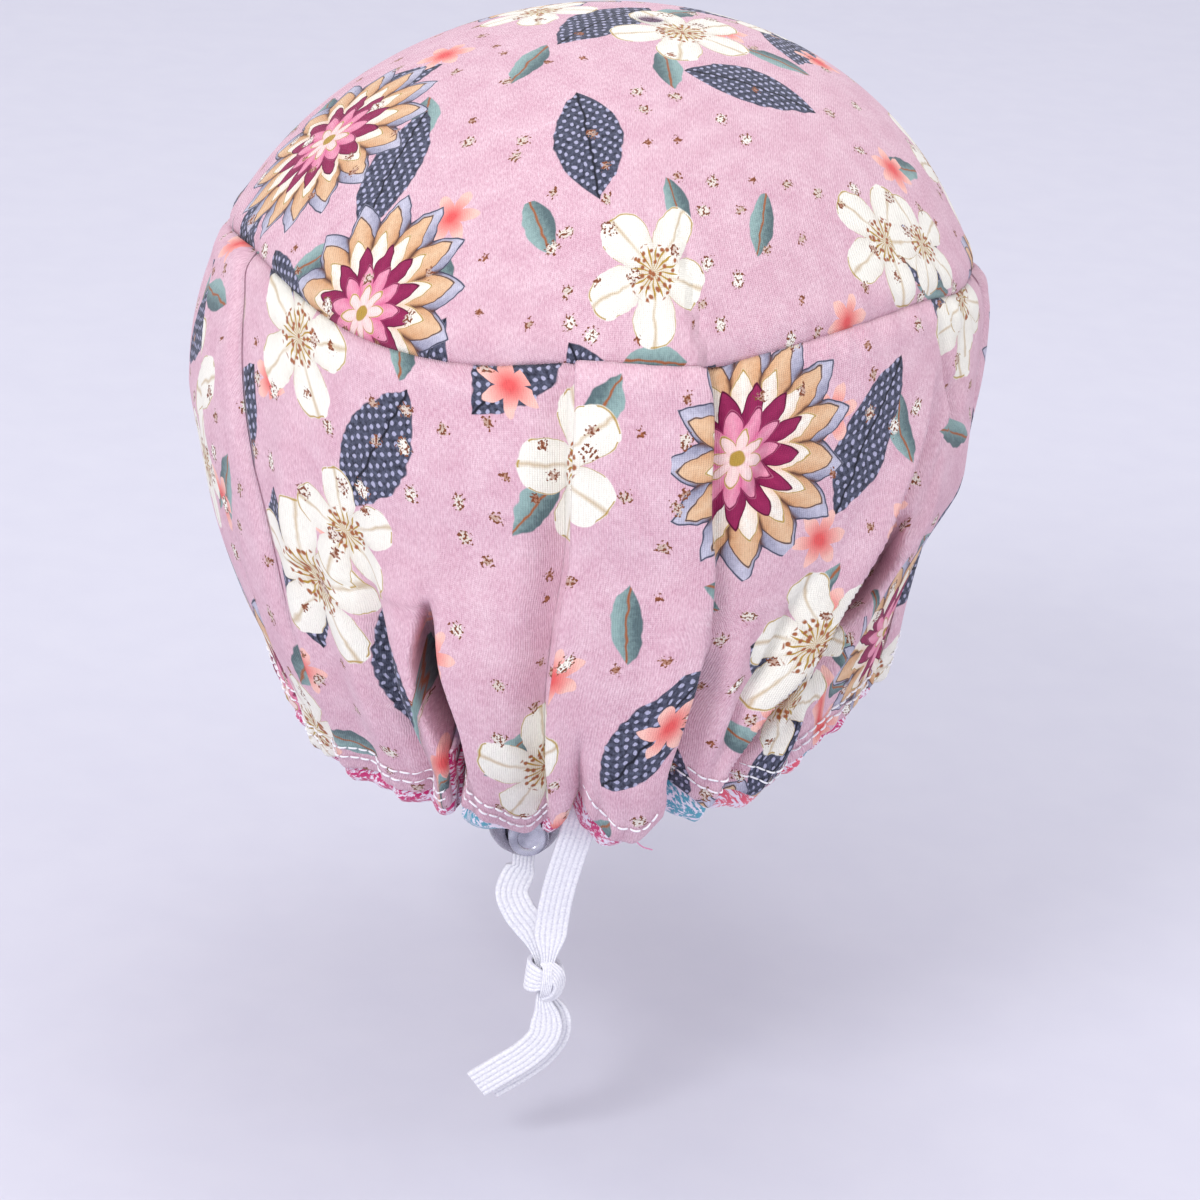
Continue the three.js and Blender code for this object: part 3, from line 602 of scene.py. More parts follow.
def back_columns(down):
    """Angle and height of every column of the back panel at a share of the way down."""
    left, strip_left = line("left_seam", down), line("strip_left", down)
    strip_right, right = line("strip_right", down), line("right_seam", down)
    past, height = under_fold["past"], under_fold["height"]
    angles = [np.linspace(left, strip_left, left_columns), strip_left + past,
              np.linspace(strip_left + past[-1], strip_right - past[-1], strip_columns + 2)[1:-1],
              strip_right - past[::-1], np.linspace(strip_right, right, right_columns)]
    heights = [np.zeros(left_columns), height, np.full(strip_columns, height[-1]), height[::-1],
               np.zeros(right_columns)]
    return np.concatenate(angles), np.concatenate(heights) * mm


def with_seam_edges(angle, height, depth, edge_columns=3.5):
    """Cloth dips into the side seams over its last few columns."""
    count = len(angle)
    from_edge = np.minimum(np.arange(count), count - 1 - np.arange(count))
    return angle, height - cloth_thickness / 2 - depth * (1 - np.clip(from_edge / edge_columns, 0, 1)) ** 2


def panel_grid(columns_at):
    rows = []
    for down in np.linspace(0, 1, panel_rows):
        angle, height = columns_at(down)
        z = seam_z(angle) + (hem_z(angle) - seam_z(angle)) * down
        rows.append(cloth_point(angle, z, height))
    for turn in np.linspace(0, math.pi, hem_rows + 1)[1:]:
        z = hem_z(angle) - hem_roll * math.sin(turn)
        rows.append(cloth_point(angle, z, height - hem_roll * (1 - math.cos(turn))))
    return np.array(rows)


def cut_of_panel(middle, shift, hidden=0.5):
    """Where each point lay on the flat cut: its way along its own row, and down its own column."""
    across = steps_between(middle, axis=1)
    across = np.minimum(across, 1.5 * np.median(across, axis=1, keepdims=True))
    along = summed(across, axis=1)
    along -= along[:, middle.shape[1] // 2, None]
    below = evened(summed(steps_between(middle)), hidden)
    return np.stack([along + shift[0], shift[1] - below, np.zeros_like(below)], -1)


print("across a fold the cloth goes through", len(under_fold["past"]), "stations")

# %% Sew the back panel
back_print_shift, back_seam_dip = (0.322, 0.07), 1.3 * mm
back_middle = panel_grid(lambda down: with_seam_edges(*back_columns(down), back_seam_dip))
back_panel = jersey_sheet("back_panel_cloth", back_middle, cut_of_panel(back_middle, back_print_shift),
                          "back_panel", "pink_knit")

# %% [markdown]
# ## The front panel
# The front goes from one side seam round the face to the other. Beside each seam it has a
# narrow flat strip that ends in a small knife fold, made with the same stations as the
# centre pleat, only lower.

# %% Sew the front panel
side_strip, strip_share, seam_gap = 13, 0.7, 0.23
front_columns, side_columns = 150, 14
front_print_shift, front_seam_dip = (0.84, 0.02), 2.08 * mm


def front_columns_at(down):
    right, left = line("right_seam", down) + seam_gap, line("left_seam", down) + 360 - seam_gap
    past, height = under_fold["past"][::-1], under_fold["height"][::-1] * strip_share
    strip_end, strip_start = right + side_strip, left - side_strip
    angles = [np.linspace(right, strip_end - past[0], side_columns + 1)[:-1], strip_end - past,
              np.linspace(strip_end, strip_start, front_columns), strip_start + past[::-1],
              np.linspace(strip_start + past[0], left, side_columns + 1)[1:]]
    top = np.full(side_columns, height[0])
    heights = [top, height, np.zeros(front_columns), height[::-1], top]
    return with_seam_edges(np.concatenate(angles), np.concatenate(heights) * mm, front_seam_dip)


front_middle = panel_grid(front_columns_at)
front_panel = jersey_sheet("front_panel_cloth", front_middle, cut_of_panel(front_middle, front_print_shift),
                           "front_panel", "pink_knit")

# %% [markdown]
# ## The crown
# The crown is one round piece, eased onto the panels along a puckered seam. From the right
# edge of the pleat a tuck runs up into it and dies away. The print on it lies as on a flat
# disc, so each point's place is its distance from the top, in its own direction.

# %% Sew the crown
crown_columns, crown_rows, crown_start = 340, 74, 0.03
tuck_angle, tuck_rise, tuck_height, tuck_spread, tuck_cloth = 6.5, 1.9 * mm, 38 * mm, 3.2, 7 * mm


def tuck(angle, z):
    """How high the tuck stands, how far up it we are and how many degrees beside it."""
    up = np.clip((z - seam_z(angle)) / tuck_height, 0, 1)
    beside = wrap(angle - tuck_angle * (1 - up))
    away = np.clip(np.abs(beside) / np.where(beside < 0, tuck_spread * 0.35, tuck_spread * 1.6), 0, 1)
    return tuck_rise * (1 - up) ** 0.8 * (1 - away) ** 2 * (1 + 2 * away), up, beside


def pleat_echo(angle, z):
    """The pleats lift the edge of the crown a little where they are sewn to it."""
    above = np.clip((z - seam_z(angle)) / (7 * mm), 0, 1)
    strip = ease(-12.2, -11, angle) * (1 - ease(6, 7.2, angle))
    return 2 * mm * strip * (1 - above) ** 2


crown_angle = np.linspace(-180, 180, crown_columns, endpoint=False)
share = np.linspace(0, 1, crown_rows)[:, None] ** 0.85
low = np.arcsin((seam_z(crown_angle) - widest_z) / dome_height)
high = math.pi / 2 - crown_start
crown_z = widest_z + dome_height * np.sin(high + (low - high) * share)
crown_angles = np.broadcast_to(crown_angle, crown_z.shape)
tuck_stand, tuck_up, tuck_beside = tuck(crown_angles, crown_z)
crown_middle = cloth_point(crown_angles, crown_z,
                           tuck_stand + pleat_echo(crown_angles, crown_z) - cloth_thickness / 2)
from_top = evened(summed(steps_between(crown_middle)), 0.6) + 3 * mm
taken_up = tuck_cloth * (1 - tuck_up) * ease(-1.1, 0.1, tuck_beside) * (1 - ease(20, 60, tuck_beside))
turn = np.radians(crown_angles)
crown_cut = np.stack([from_top * np.sin(turn) + taken_up, -from_top * np.cos(turn), np.zeros_like(turn)], -1)
crown = jersey_sheet("crown_cloth", crown_middle, crown_cut, "crown", "pink_knit", round_columns=True)

# %% [markdown]
# ## The facing
# Inside the hem there is a facing of another jersey, mottled in magenta and teal. The
# elastic runs in it and rolls its edge out below the hem. Its section is a short table of
# stations, and how far it shows below the hem changes round the cap.

# %% Roll the facing
facing_section = table(
    "up inset below",
    (14, 3.6, 0), (9, 3.5, 0), (4, 3.4, 0), (1.5, 3.2, 0), (0, 2.6, 0.15), (0, 1.5, 0.35), (0, 1, 0.6),
    (0, 1.4, 0.82), (0, 2.6, 0.96), (0, 4.2, 1), (0, 5.6, 0.9), (0, 6.5, 0.6), (0.5, 6.8, 0.1), (4, 6.9, 0),
    (9, 6.6, 0))
facing_show = table(
    "angle show",
    (-180, 5), (-110, 5.5), (-60, 6), (-53, 6.4), (-48, 7.6), (-44, 8.4), (-38, 8), (-30, 8), (-26, 8),
    (-23, 8), (-20, 6.4), (-14, 4), (-11, 6), (-8, 11), (-6, 12), (-4, 12), (-1, 12), (2, 10.4), (5, 9),
    (7, 9), (9.5, 14.5), (12, 12), (15, 9.5), (18, 9.8), (20.5, 10.8), (23, 9.5), (26, 7.4), (30, 6), (38, 5),
    (60, 5), (110, 5.5), (180, 5))
facing_tints = table(
    "angle tint",
    (-180, 0), (-70, 0), (-28, 0), (-26.5, 1), (-16, 1), (-12, 0), (8, 0), (9.5, 1), (19.5, 1), (21, 2),
    (36, 2), (40, 0), (180, 0))
facing_columns, facing_thickness, ripple_height = 900, 0.8 * mm, 0.8 * mm
facing_gap = (-15.5, -10.6)

facing_angle = np.linspace(facing_gap[1], 360 + facing_gap[0], facing_columns)
show = read(facing_show, "angle", "show", wrap(facing_angle)) * mm
ripple = 0.5 * waves(facing_angle, 46, 2.4, 9) + 0.5 * waves(facing_angle, 31, 0, 0, start=1.2)
facing_middle = []
for up, inset, below in zip(*facing_section.values()):
    z = hem_z(facing_angle) + up * mm - show * below
    held = np.maximum(z, hem_z(facing_angle) - 0.5 * mm)
    offset = fold_offset(facing_angle, held) * (1 - 0.25 * below) - inset * mm \
        + ripple * ripple_height * ease(0, 1, below + 0.2)
    facing_middle.append(base_point(facing_angle, z) + base_normal(facing_angle, z) * offset[:, None]
                         + pocket_offset(facing_angle, held))
facing_middle = np.array(facing_middle)
facing = jersey_sheet("facing_cloth", facing_middle, cut_of_panel(facing_middle, (0, 0), 0), "hem_casing",
                      "facing_knit", thickness=facing_thickness)
tint = np.interp(wrap(facing_angle), facing_tints["angle"], facing_tints["tint"])
store(facing, "tint", np.tile(tint, 2 * len(facing_middle)))

# %% [markdown]
# ## The topstitching
# White stitches hold the hem. They are real little capsules of thread, laid on the cloth in
# two rows, because a painted line would look flat close up. The rows follow the hem, so each
# stitch takes its place from the same form as the cloth.

# %% Lay the stitches
stitch_pitch, stitch_length, thread_radius = 3 * mm, 2.45 * mm, 0.26 * mm
stitch_sides, stitch_steps, row_samples = 6, 6, 1600
thread_lift, stitch_arch = 0.12 * mm, 0.28 * mm


def stand_of_columns(angle, columns_at):
    """Height of the cloth's top layer at the hem."""
    columns, heights = columns_at(1.0)
    keep = columns >= np.maximum.accumulate(columns) - 1e-9
    return np.interp(angle, columns[keep], heights[keep])


def stitch_row(first, last, up, columns_at):
    angle = np.linspace(first, last, row_samples)
    z = hem_z(angle) + up * mm
    seat = cloth_point(angle, z, stand_of_columns(angle, columns_at) + cloth_thickness / 2 + thread_lift)
    normal, way = base_normal(angle, z), way_along(seat)
    arch = np.sin(np.linspace(0.12, 0.88, stitch_steps) * math.pi)
    radius = thread_radius * np.clip(arch * 2.2, 0.35, 1)
    cosine, sine = (value[None, :, None] for value in round_outline(stitch_sides))
    end, last_ring = tuple(range(stitch_sides)), (stitch_steps - 1) * stitch_sides
    faces = [*grid_faces(stitch_steps, stitch_sides, round_columns=True), end,
             tuple(last_ring + i for i in reversed(end))]
    for start in np.arange(0, way[-1] - stitch_pitch, stitch_pitch):
        at = np.linspace(start, start + stitch_length, stitch_steps)
        middle, out = points_at(at, way, seat), unit(points_at(at, way, normal))
        across = np.cross(unit(np.gradient(middle, axis=0)), out)
        middle = middle + out * ((arch - 0.75) * stitch_arch)[:, None]
        rings = middle[:, None] + (across[:, None] * cosine + out[:, None] * sine) * radius[:, None, None]
        yield rings.reshape(-1, 3), faces


stitch_rows = [(-52.5, -10.3, 3.6, back_columns), (-52.5, -10.3, 6.6, back_columns), (-7.6, 7.2, 4.6, back_columns),
               (9.6, 58, 4.4, back_columns), (12.5, 58, 7.4, back_columns),
               (62, 305, 3.6, front_columns_at), (62, 305, 6.6, front_columns_at)]
stitches = new_piece("hem_stitches", *joined(stitch for row in stitch_rows for stitch in stitch_row(*row)),
                     None, "white_elastic")

# %% [markdown]
# ## The ball lock
# The lock is a moulded ball with a bore for a sprung plunger and a slot for the elastic.
# All three pieces are turned about one axis, so a helper spins a half section. The slot is
# cut with a Boolean modifier, which is how a machinist would think of it too.

# %% Turned pieces
def turned(profile, sides):
    """Points and faces of a half section spun about the Y axis."""
    profile = np.asarray(profile, float) * mm
    spin = np.linspace(0, full_turn, sides, endpoint=False)
    middle = profile[1:-1]
    rings = np.stack([middle[:, :1] * np.cos(spin), np.repeat(middle[:, 1:], sides, 1),
                      middle[:, :1] * np.sin(spin)], -1)
    points = np.concatenate([rings.reshape(-1, 3), [(0, profile[0, 1], 0)], [(0, profile[-1, 1], 0)]])
    return points + lock_centre, closed_tube(len(middle), sides)


def outwards(piece):
    mesh = bmesh.new()
    mesh.from_mesh(piece.data)
    bmesh.ops.recalc_face_normals(mesh, faces=mesh.faces)
    mesh.to_mesh(piece.data)
    mesh.free()


def cut_slot(piece, width, front, back, corner=0.8):
    """Cut a slot with rounded corners right through a turned piece, along Z."""
    outline = [(sign_x * (width / 2 - corner) + corner * math.cos(bend),
                sign_y * ((back - front) / 2 - corner) + corner * math.sin(bend))
               for sign_x, sign_y, quarter in ((1, 1, 0), (-1, 1, 1), (-1, -1, 2), (1, -1, 3))
               for bend in np.linspace(quarter, quarter + 1, 6) * math.pi / 2]
    count = len(outline)
    points = [Vector((x, y + (front + back) / 2, z)) * mm + Vector(lock_centre) for z in (-20, 20) for x, y in outline]
    faces = [tuple(reversed(range(count))), tuple(range(count, 2 * count))]
    faces += [(i, (i + 1) % count, count + (i + 1) % count, count + i) for i in range(count)]
    mesh = bpy.data.meshes.new("slot_tool")
    mesh.from_pydata(points, [], faces)
    tool = in_scene("slot_tool", mesh)
    cut = piece.modifiers.new("slot", "BOOLEAN")
    cut.operation, cut.solver, cut.object = "DIFFERENCE", "EXACT", tool
    shape = bpy.data.meshes.new_from_object(piece.evaluated_get(bpy.context.evaluated_depsgraph_get()))
    piece.modifiers.clear()
    piece.data = shape
    bpy.data.objects.remove(tool)
    shape.shade_smooth()
    shape.set_sharp_from_angle(angle=math.radians(38))


# %% Turn the ball, the plunger and the spring
ball_radius, bore_radius, bore_bottom = 9, 5.1, 7
cord_front, cord_back = -4.1, -1.9
mouth = -math.sqrt(ball_radius**2 - 5.9**2)
ball_bend = np.linspace(math.asin(mouth / ball_radius), math.pi / 2, 44)
ball_profile = [(0, bore_bottom), (bore_radius - 0.4, bore_bottom), (bore_radius, bore_bottom - 0.4),
                (bore_radius, mouth + 0.5), (bore_radius + 0.15, mouth + 0.12), (bore_radius + 0.5, mouth),
                *((ball_radius * math.cos(bend), ball_radius * math.sin(bend)) for bend in ball_bend[:-1]),
                (0, ball_radius)]
ball = new_piece("lock_ball", *turned(ball_profile, 72), ["lock_barrel"], "grey_plastic")
outwards(ball)
cut_slot(ball, 9.4, cord_front - 0.3, cord_back + 0.6)

tip, end, radius = -11.5, 0.8, 4.75
plunger_profile = [(0, tip + 0.35), (2.6, tip + 0.35), (2.9, tip + 0.1), (3.3, tip), (4.1, tip), (4.55, tip + 0.2),
                   (radius, tip + 0.65), (radius, tip + 1.5), (4.45, tip + 1.7), (4.45, tip + 2),
                   (radius, tip + 2.2), (radius, end - 0.3), (4.4, end), (0, end)]
plunger = new_piece("lock_plunger_turned", *turned(plunger_profile, 64), ["lock_plunger"], "grey_plastic",
                    body="plunger")
outwards(plunger)
cut_slot(plunger, 6, cord_front - 4.1, cord_back + 0.3)

coil_radius, coil_start, coil_length, coil_wire, coil_turns = 3.2, 1.4, 5, 0.6 * mm, 3.5
coil = np.linspace(0, coil_turns, 160)
coil_path = np.stack([coil_radius * np.cos(full_turn * coil), coil_start + coil_length * coil / coil_turns,
                      coil_radius * np.sin(full_turn * coil)], -1) * mm + lock_centre
spring = new_piece("lock_coil", *ribbon(coil_path, coil_wire, coil_wire, round_outline()), ["lock_spring"],
                   "spring_steel")
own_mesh(spring)

# %% [markdown]
# ## A loose thread
# One pink end of sewing thread hangs from the hem beside the pleat. It is a thin tube on a
# short route.

# %% Hang the thread
thread_width = 0.34 * mm
thread_path = smooth_route(np.array([(7.2, -91.5, -167.5), (8.6, -91.8, -170.3), (10.8, -91.9, -172.6),
                                     (13.4, -91.6, -173.6)]) * mm, 0.4 * mm)
thread = new_piece("loose_thread", *ribbon(thread_path, thread_width, thread_width, round_outline(8)), None,
                   "pink_knit")

# %% [markdown]
# ## Painting with nodes
# The materials are drawn with shader nodes. Written one by one, hundreds of Math nodes are
# hard to read, so a small class wraps a socket: adding or multiplying two of them places
# the Math node. A painter then offers the textures we need.

# %% Sums as nodes
class Wire:
    def __init__(self, tree, socket):
        self.tree, self.socket = tree, socket

    def math(self, operation, *others, clamp=False):
        node = self.tree.nodes.new("ShaderNodeMath")
        node.operation, node.use_clamp = operation, clamp
        for place, value in zip(node.inputs, (self, *others)):
            if isinstance(value, Wire):
                self.tree.links.new(value.socket, place)
            else:
                place.default_value = value
        return Wire(self.tree, node.outputs[0])

    def __add__(self, other): return self.math("ADD", other)
    def __sub__(self, other): return self.math("SUBTRACT", other)
    def __mul__(self, other): return self.math("MULTIPLY", other)
    def __truediv__(self, other): return self.math("DIVIDE", other)
    def __rsub__(self, other): return (self * -1) + other
    __radd__, __rmul__ = __add__, __mul__

    def clamped(self, shift=0.0): return self.math("ADD", shift, clamp=True)
    def rises(self, start, end): return ((self - start) / (end - start)).clamped()
    def power(self, exponent): return self.math("POWER", exponent)
    def absolute(self): return self.math("ABSOLUTE")
    def sine(self): return self.math("SINE")
    def greater(self, level): return self.math("GREATER_THAN", level)
    def smallest(self, other): return self.math("MINIMUM", other)


def distance(x, y):
    return (x * x + y * y).math("SQRT")


def linear(*value):
    """A colour given in 0 to 255, as Blender's linear light."""
    return tuple((part / 255 / 12.92) if part <= 10 else ((part / 255 + 0.055) / 1.055) ** 2.4 for part in value)


class Painter:
    def __init__(self, tree):
        self.tree = tree

    def node(self, kind, **settings):
        node = self.tree.nodes.new(kind)
        for name, value in settings.items():
            setattr(node, name, value)
        return node

    def link(self, value, place):
        if isinstance(value, Wire):
            self.tree.links.new(value.socket, place)
        elif isinstance(value, tuple):
            place.default_value = (*value, 1)
        else:
            place.default_value = value

    def filled(self, node, *values, output=0, **named):
        """Fill a node's inputs, by place or by name, and take one of its outputs."""
        for place, value in [*zip(node.inputs, values), *((node.inputs[name], named[name]) for name in named)]:
            self.link(value, place)
        return Wire(self.tree, node.outputs[output])

    def attribute(self, name, output="Vector"):
        return self.filled(self.node("ShaderNodeAttribute", attribute_name=name), output=output)

    def object_place(self):
        return self.filled(self.node("ShaderNodeTexCoord"), output="Object")

    def split(self, vector):
        node = self.node("ShaderNodeSeparateXYZ")
        self.filled(node, vector)
        return [Wire(self.tree, socket) for socket in node.outputs]

    def join(self, x, y, z=0.0):
        return self.filled(self.node("ShaderNodeCombineXYZ"), x, y, z)

    def noise(self, vector, scale, detail=2.0, roughness=0.5):
        return self.filled(self.node("ShaderNodeTexNoise"), Vector=vector, Scale=scale, Detail=detail,
                           Roughness=roughness)

    def mix(self, share, first, second, blend="MIX"):
        node = self.node("ShaderNodeMix", data_type="RGBA", blend_type=blend)
        for value, place in zip((share, first, second), (0, 6, 7)):
            self.link(value, node.inputs[place])
        return Wire(self.tree, node.outputs[2])

    def scatter(self, place, spacing, shift, jitter=0.75):
        """One motif for each cell: its own place turned at random, and two chances."""
        x, y, _ = self.split(place)
        x, y = x + shift[0], y + shift[1]
        cells = self.node("ShaderNodeTexVoronoi", voronoi_dimensions="2D", feature="F1")
        self.filled(cells, Vector=self.join(x, y), Scale=1 / spacing, Randomness=jitter)
        middle_x, middle_y, _ = self.split(Wire(self.tree, cells.outputs["Position"]))
        chance, turn, kind = self.split(Wire(self.tree, cells.outputs["Color"]))
        x, y, turn = x - middle_x, y - middle_y, turn * full_turn
        cosine, sine = turn.math("COSINE"), turn.sine()
        return x * cosine + y * sine, y * cosine - x * sine, chance, kind

    def lay(self, colour, inside, paint, wanted=1.0):
        """Lay paint over a colour where inside is above zero, with a soft edge."""
        return self.mix((inside / edge_soft + 0.5).clamped() * wanted, colour, paint)


edge_soft = 0.35 * mm
print("mid grey is", round(linear(128)[0], 3), "in linear light")

# %% [markdown]
# ## The print
# The jersey has a large floral print. Ours is a plain design of our own in the real one's
# colours and scale: dahlias with pointed petals, five-petalled cream blossoms, dark leaves
# with pale dots, sage leaves and copper flecks. A Voronoi texture gives every motif a cell
# with its own middle and turn, and each petal is one wave round that middle.

# %% Draw petals and leaves
dusty_pink, cream, tan = linear(214, 166, 184), linear(252, 250, 240), linear(204, 146, 100)
burgundy, rose, charcoal = linear(126, 22, 72), linear(221, 112, 152), linear(58, 62, 82)
lavender, sage, dark_sage = linear(176, 176, 204), linear(150, 178, 176), linear(92, 112, 116)
copper, gold, coral = linear(164, 98, 62), linear(184, 150, 70), linear(250, 198, 186)


def petals(x, y, count, inner, outer, point, turn=0.0):
    """How far inside a ring of petals a place is, and how near to the gap between two."""
    reach = distance(x, y)
    wave = (((y.math("ARCTAN2", x) + turn) * (count / full_turn)).math("FRACT") * 2 - 1).absolute()
    return (outer - wave.power(point) * (outer - inner)) * mm - reach, wave, reach


def leaf(x, y, length, width):
    return (1 - (x / length).power(2)) * width - y.absolute()


def paint_leaves(painter, place, colour, grain):
    x, y, chance, _ = painter.scatter(place, 31 * mm, (0.013, 0.007))
    shade = painter.mix((y / (5 * mm) + grain).clamped(), sage, dark_sage)
    shade = painter.lay(shade, 0.28 * mm - (y + x * 0.05).absolute(), copper)
    colour = painter.lay(colour, leaf(x, y, 9.5 * mm, 3.8 * mm), shade, chance.greater(0.42))
    x, y, chance, _ = painter.scatter(place, 45 * mm, (0.041, 0.023))
    dots = ((x * 1900).sine() * (y * 2300).sine() - 0.5) * mm
    shade = painter.mix(grain.rises(0.3, 0.7), linear(38, 40, 54), linear(96, 100, 122))
    shade = painter.lay(shade, dots, lavender)
    shade = painter.lay(shade, 0.3 * mm - y.absolute(), linear(30, 32, 44))
    return painter.lay(colour, leaf(x, y, 19 * mm, 8.5 * mm), shade, chance.greater(0.3))


# From the outer ring of a dahlia to the inner one: how many petals, where their gaps and their
# tips lie in mm, how pointed they are, and their dark, light, edge and midrib colours
dahlia_rings = [
    (15, 23, 30, 1.1, linear(120, 120, 146), linear(214, 212, 230), charcoal, linear(92, 58, 48)),
    (15, 19, 27, 1.2, tan, linear(238, 204, 168), linear(70, 58, 66), linear(92, 58, 48)),
    (15, 14, 20.5, 1.25, linear(236, 206, 184), cream, gold, linear(236, 206, 184)),
    (13, 10.5, 17, 1.3, burgundy, linear(158, 44, 92), linear(80, 10, 44), burgundy),
    (11, 7.5, 12, 1.4, rose, linear(240, 168, 190), burgundy, rose),
    (8, 3.5, 7, 1.5, linear(245, 205, 205), linear(250, 226, 220), gold, linear(245, 205, 205))]


def paint_dahlia(painter, x, y, colour, grain, wanted):
    for i, (count, inner, outer, point, dark, light, edge, midrib) in enumerate(dahlia_rings):
        inside, wave, reach = petals(x, y, count, inner, outer, point, turn=i * 0.37)
        paint = painter.mix((wave * 0.7 + grain * 0.6).clamped(-0.1), light, dark)
        paint = painter.lay(paint, (wave - 0.88) * mm * 1.5, midrib)
        colour = painter.lay(colour, inside, paint, wanted)
        colour = painter.lay(colour, 0.26 * mm - (inside - 0.3 * mm).absolute(), edge, wanted)
    return painter.lay(colour, 1.8 * mm - reach, gold, wanted)


def paint_blossom(painter, x, y, colour, grain, wanted, dots):
    inside, wave, reach = petals(x, y, 5, 8, 18.5, 2.6)
    paint = painter.mix((wave.power(3) * 0.55 + grain * 0.3).clamped(), cream, linear(222, 214, 202))
    paint = painter.lay(paint, (0.05 - wave) * mm * 4 * reach.rises(4 * mm, 12 * mm), linear(214, 196, 168))
    colour = painter.lay(colour, inside, paint, wanted)
    colour = painter.lay(colour, 0.2 * mm - (inside - 0.35 * mm).absolute(), gold, wanted * grain.greater(0.47))
    heart, spokes, _ = petals(x, y, 17, 2.4, 6.8, 0.8)
    colour = painter.lay(colour, heart.smallest((0.32 - spokes) * mm * 2), gold, wanted)
    return painter.lay(colour, (7.2 * mm - reach).smallest(dots), copper, wanted)


# %% Mix the print
knit_wale, knit_course = 0.56 * mm, 0.48 * mm


def printed_jersey():
    tree = bpy.data.node_groups.new("jersey_print", "ShaderNodeTree")
    tree.interface.new_socket("Color", in_out="OUTPUT", socket_type="NodeSocketColor")
    tree.interface.new_socket("Height", in_out="OUTPUT", socket_type="NodeSocketFloat")
    painter = Painter(tree)
    place = painter.attribute("cut_place")
    across, down, _ = painter.split(place)
    grain, cloud = painter.noise(place, 900, 3), painter.noise(place, 130, 2)
    wobble = (painter.noise(place, 260, 1) - 0.5) * 1.6 * mm
    wobbled = painter.join(across + wobble, down - wobble)
    # heathered ground, leaves and small coral blooms
    heather = painter.noise(painter.join(across * 1.6, down * 0.5), 1500, 3, 0.7)
    colour = painter.mix(cloud.rises(0.35, 0.7) * 0.4 + heather.rises(0.38, 0.64) * 0.6,
                         dusty_pink, linear(236, 204, 215))
    colour = paint_leaves(painter, wobbled, colour, grain)
    x, y, chance, _ = painter.scatter(wobbled, 24 * mm, (0.003, 0.019), 1.0)
    inside, _, reach = petals(x, y, 6, 3.2, 7.5, 1.4)
    bloom = painter.mix(reach.rises(1 * mm, 6 * mm), linear(232, 96, 96), coral)
    colour = painter.lay(colour, inside, bloom, chance.greater(0.8))
    # large blossoms and dahlias, each in half of the same cells, then smaller blossoms
    x, y, _, _ = painter.scatter(wobbled, 2.1 * mm, (0, 0), 1.0)
    dots = 0.55 * mm - distance(x, y)
    x, y, chance, _ = painter.scatter(wobbled, 74 * mm, (0.028, 0.035), 0.55)
    colour = paint_blossom(painter, x, y, colour, cloud, chance.greater(0.5), dots)
    colour = paint_dahlia(painter, x, y, colour, grain, 1 - chance.greater(0.5))
    x, y, chance, _ = painter.scatter(wobbled, 52 * mm, (0.061, 0.011), 0.8)
    colour = paint_blossom(painter, x * 1.25, y * 1.25, colour, cloud, chance.greater(0.72), dots)
    # copper and cream flecks
    x, y, chance, kind = painter.scatter(wobbled, 10.5 * mm, (0.005, 0.002), 1.0)
    grit = painter.noise(place, 1300, 1)
    fleck = (kind * 1.1 + 0.9) * mm - ((x * x + y * y * 1.4).math("SQRT") + (grit - 0.5) * 4.5 * mm)
    glint = painter.mix(grit.rises(0.42, 0.5), linear(130, 74, 50), painter.mix(kind, copper, cream))
    colour = painter.lay(colour, fleck, glint, chance.greater(0.5))
    # the knit's columns and rows shade the print and lift the surface
    wale = (across * (full_turn / knit_wale)).sine()
    course = (down * (full_turn / knit_course) + wale * 1.2).sine()
    knit = wale * 0.7 + course * 0.3
    shade = 0.96 + knit * 0.05 + (heather - 0.5) * 0.3
    colour = painter.mix(1.0, colour, painter.join(shade, shade, shade), "MULTIPLY")
    colour = painter.mix(painter.attribute("inside", "Fac"), colour, linear(236, 216, 226))
    output = painter.node("NodeGroupOutput")
    painter.link(colour, output.inputs["Color"])
    painter.link(knit * 0.6 + heather * 1.2, output.inputs["Height"])
    print("the print has", len(tree.nodes), "nodes")
    return tree


# %% [markdown]
# ## Finishes
# Every surface gets a Principled shader. Jersey is matt with a soft sheen and a bump from
# its stitches. Elastic is a bright rib with fine cross threads and painted shade in the grooves
# between its ribs. The lock is a smoky plastic that lets a little light through.

# %% Finish the cloth
def principled(name, **sockets):
    material = bpy.data.materials.new(name)
    material.use_nodes = True
    painter = Painter(material.node_tree)
    painter.material, painter.shader = material, material.node_tree.nodes["Principled BSDF"]
    for socket, value in sockets.items():
        painter.shader.inputs[socket.replace("_", " ")].default_value = value
    return painter


def finish(painter, pieces, colour, height, depth, strength=1.0):
    """Give a material its colour and its bump, and the pieces their material."""
    bump = painter.node("ShaderNodeBump")
    normal = painter.filled(bump, Distance=depth, Strength=strength, Height=height)
    painter.link(colour, painter.shader.inputs["Base Color"])
    painter.link(normal, painter.shader.inputs["Normal"])
    for piece in pieces:
        piece.data.materials.clear()
        piece.data.materials.append(painter.material)


painter = principled("printed_jersey", Roughness=0.85, Sheen_Weight=0.12, Sheen_Roughness=0.4,
                     Specular_IOR_Level=0.2)
group = painter.node("ShaderNodeGroup", node_tree=printed_jersey())
finish(painter, (back_panel, front_panel, crown), painter.filled(group, output="Color"),
       painter.filled(group, output="Height"), 0.16 * mm, 0.8)

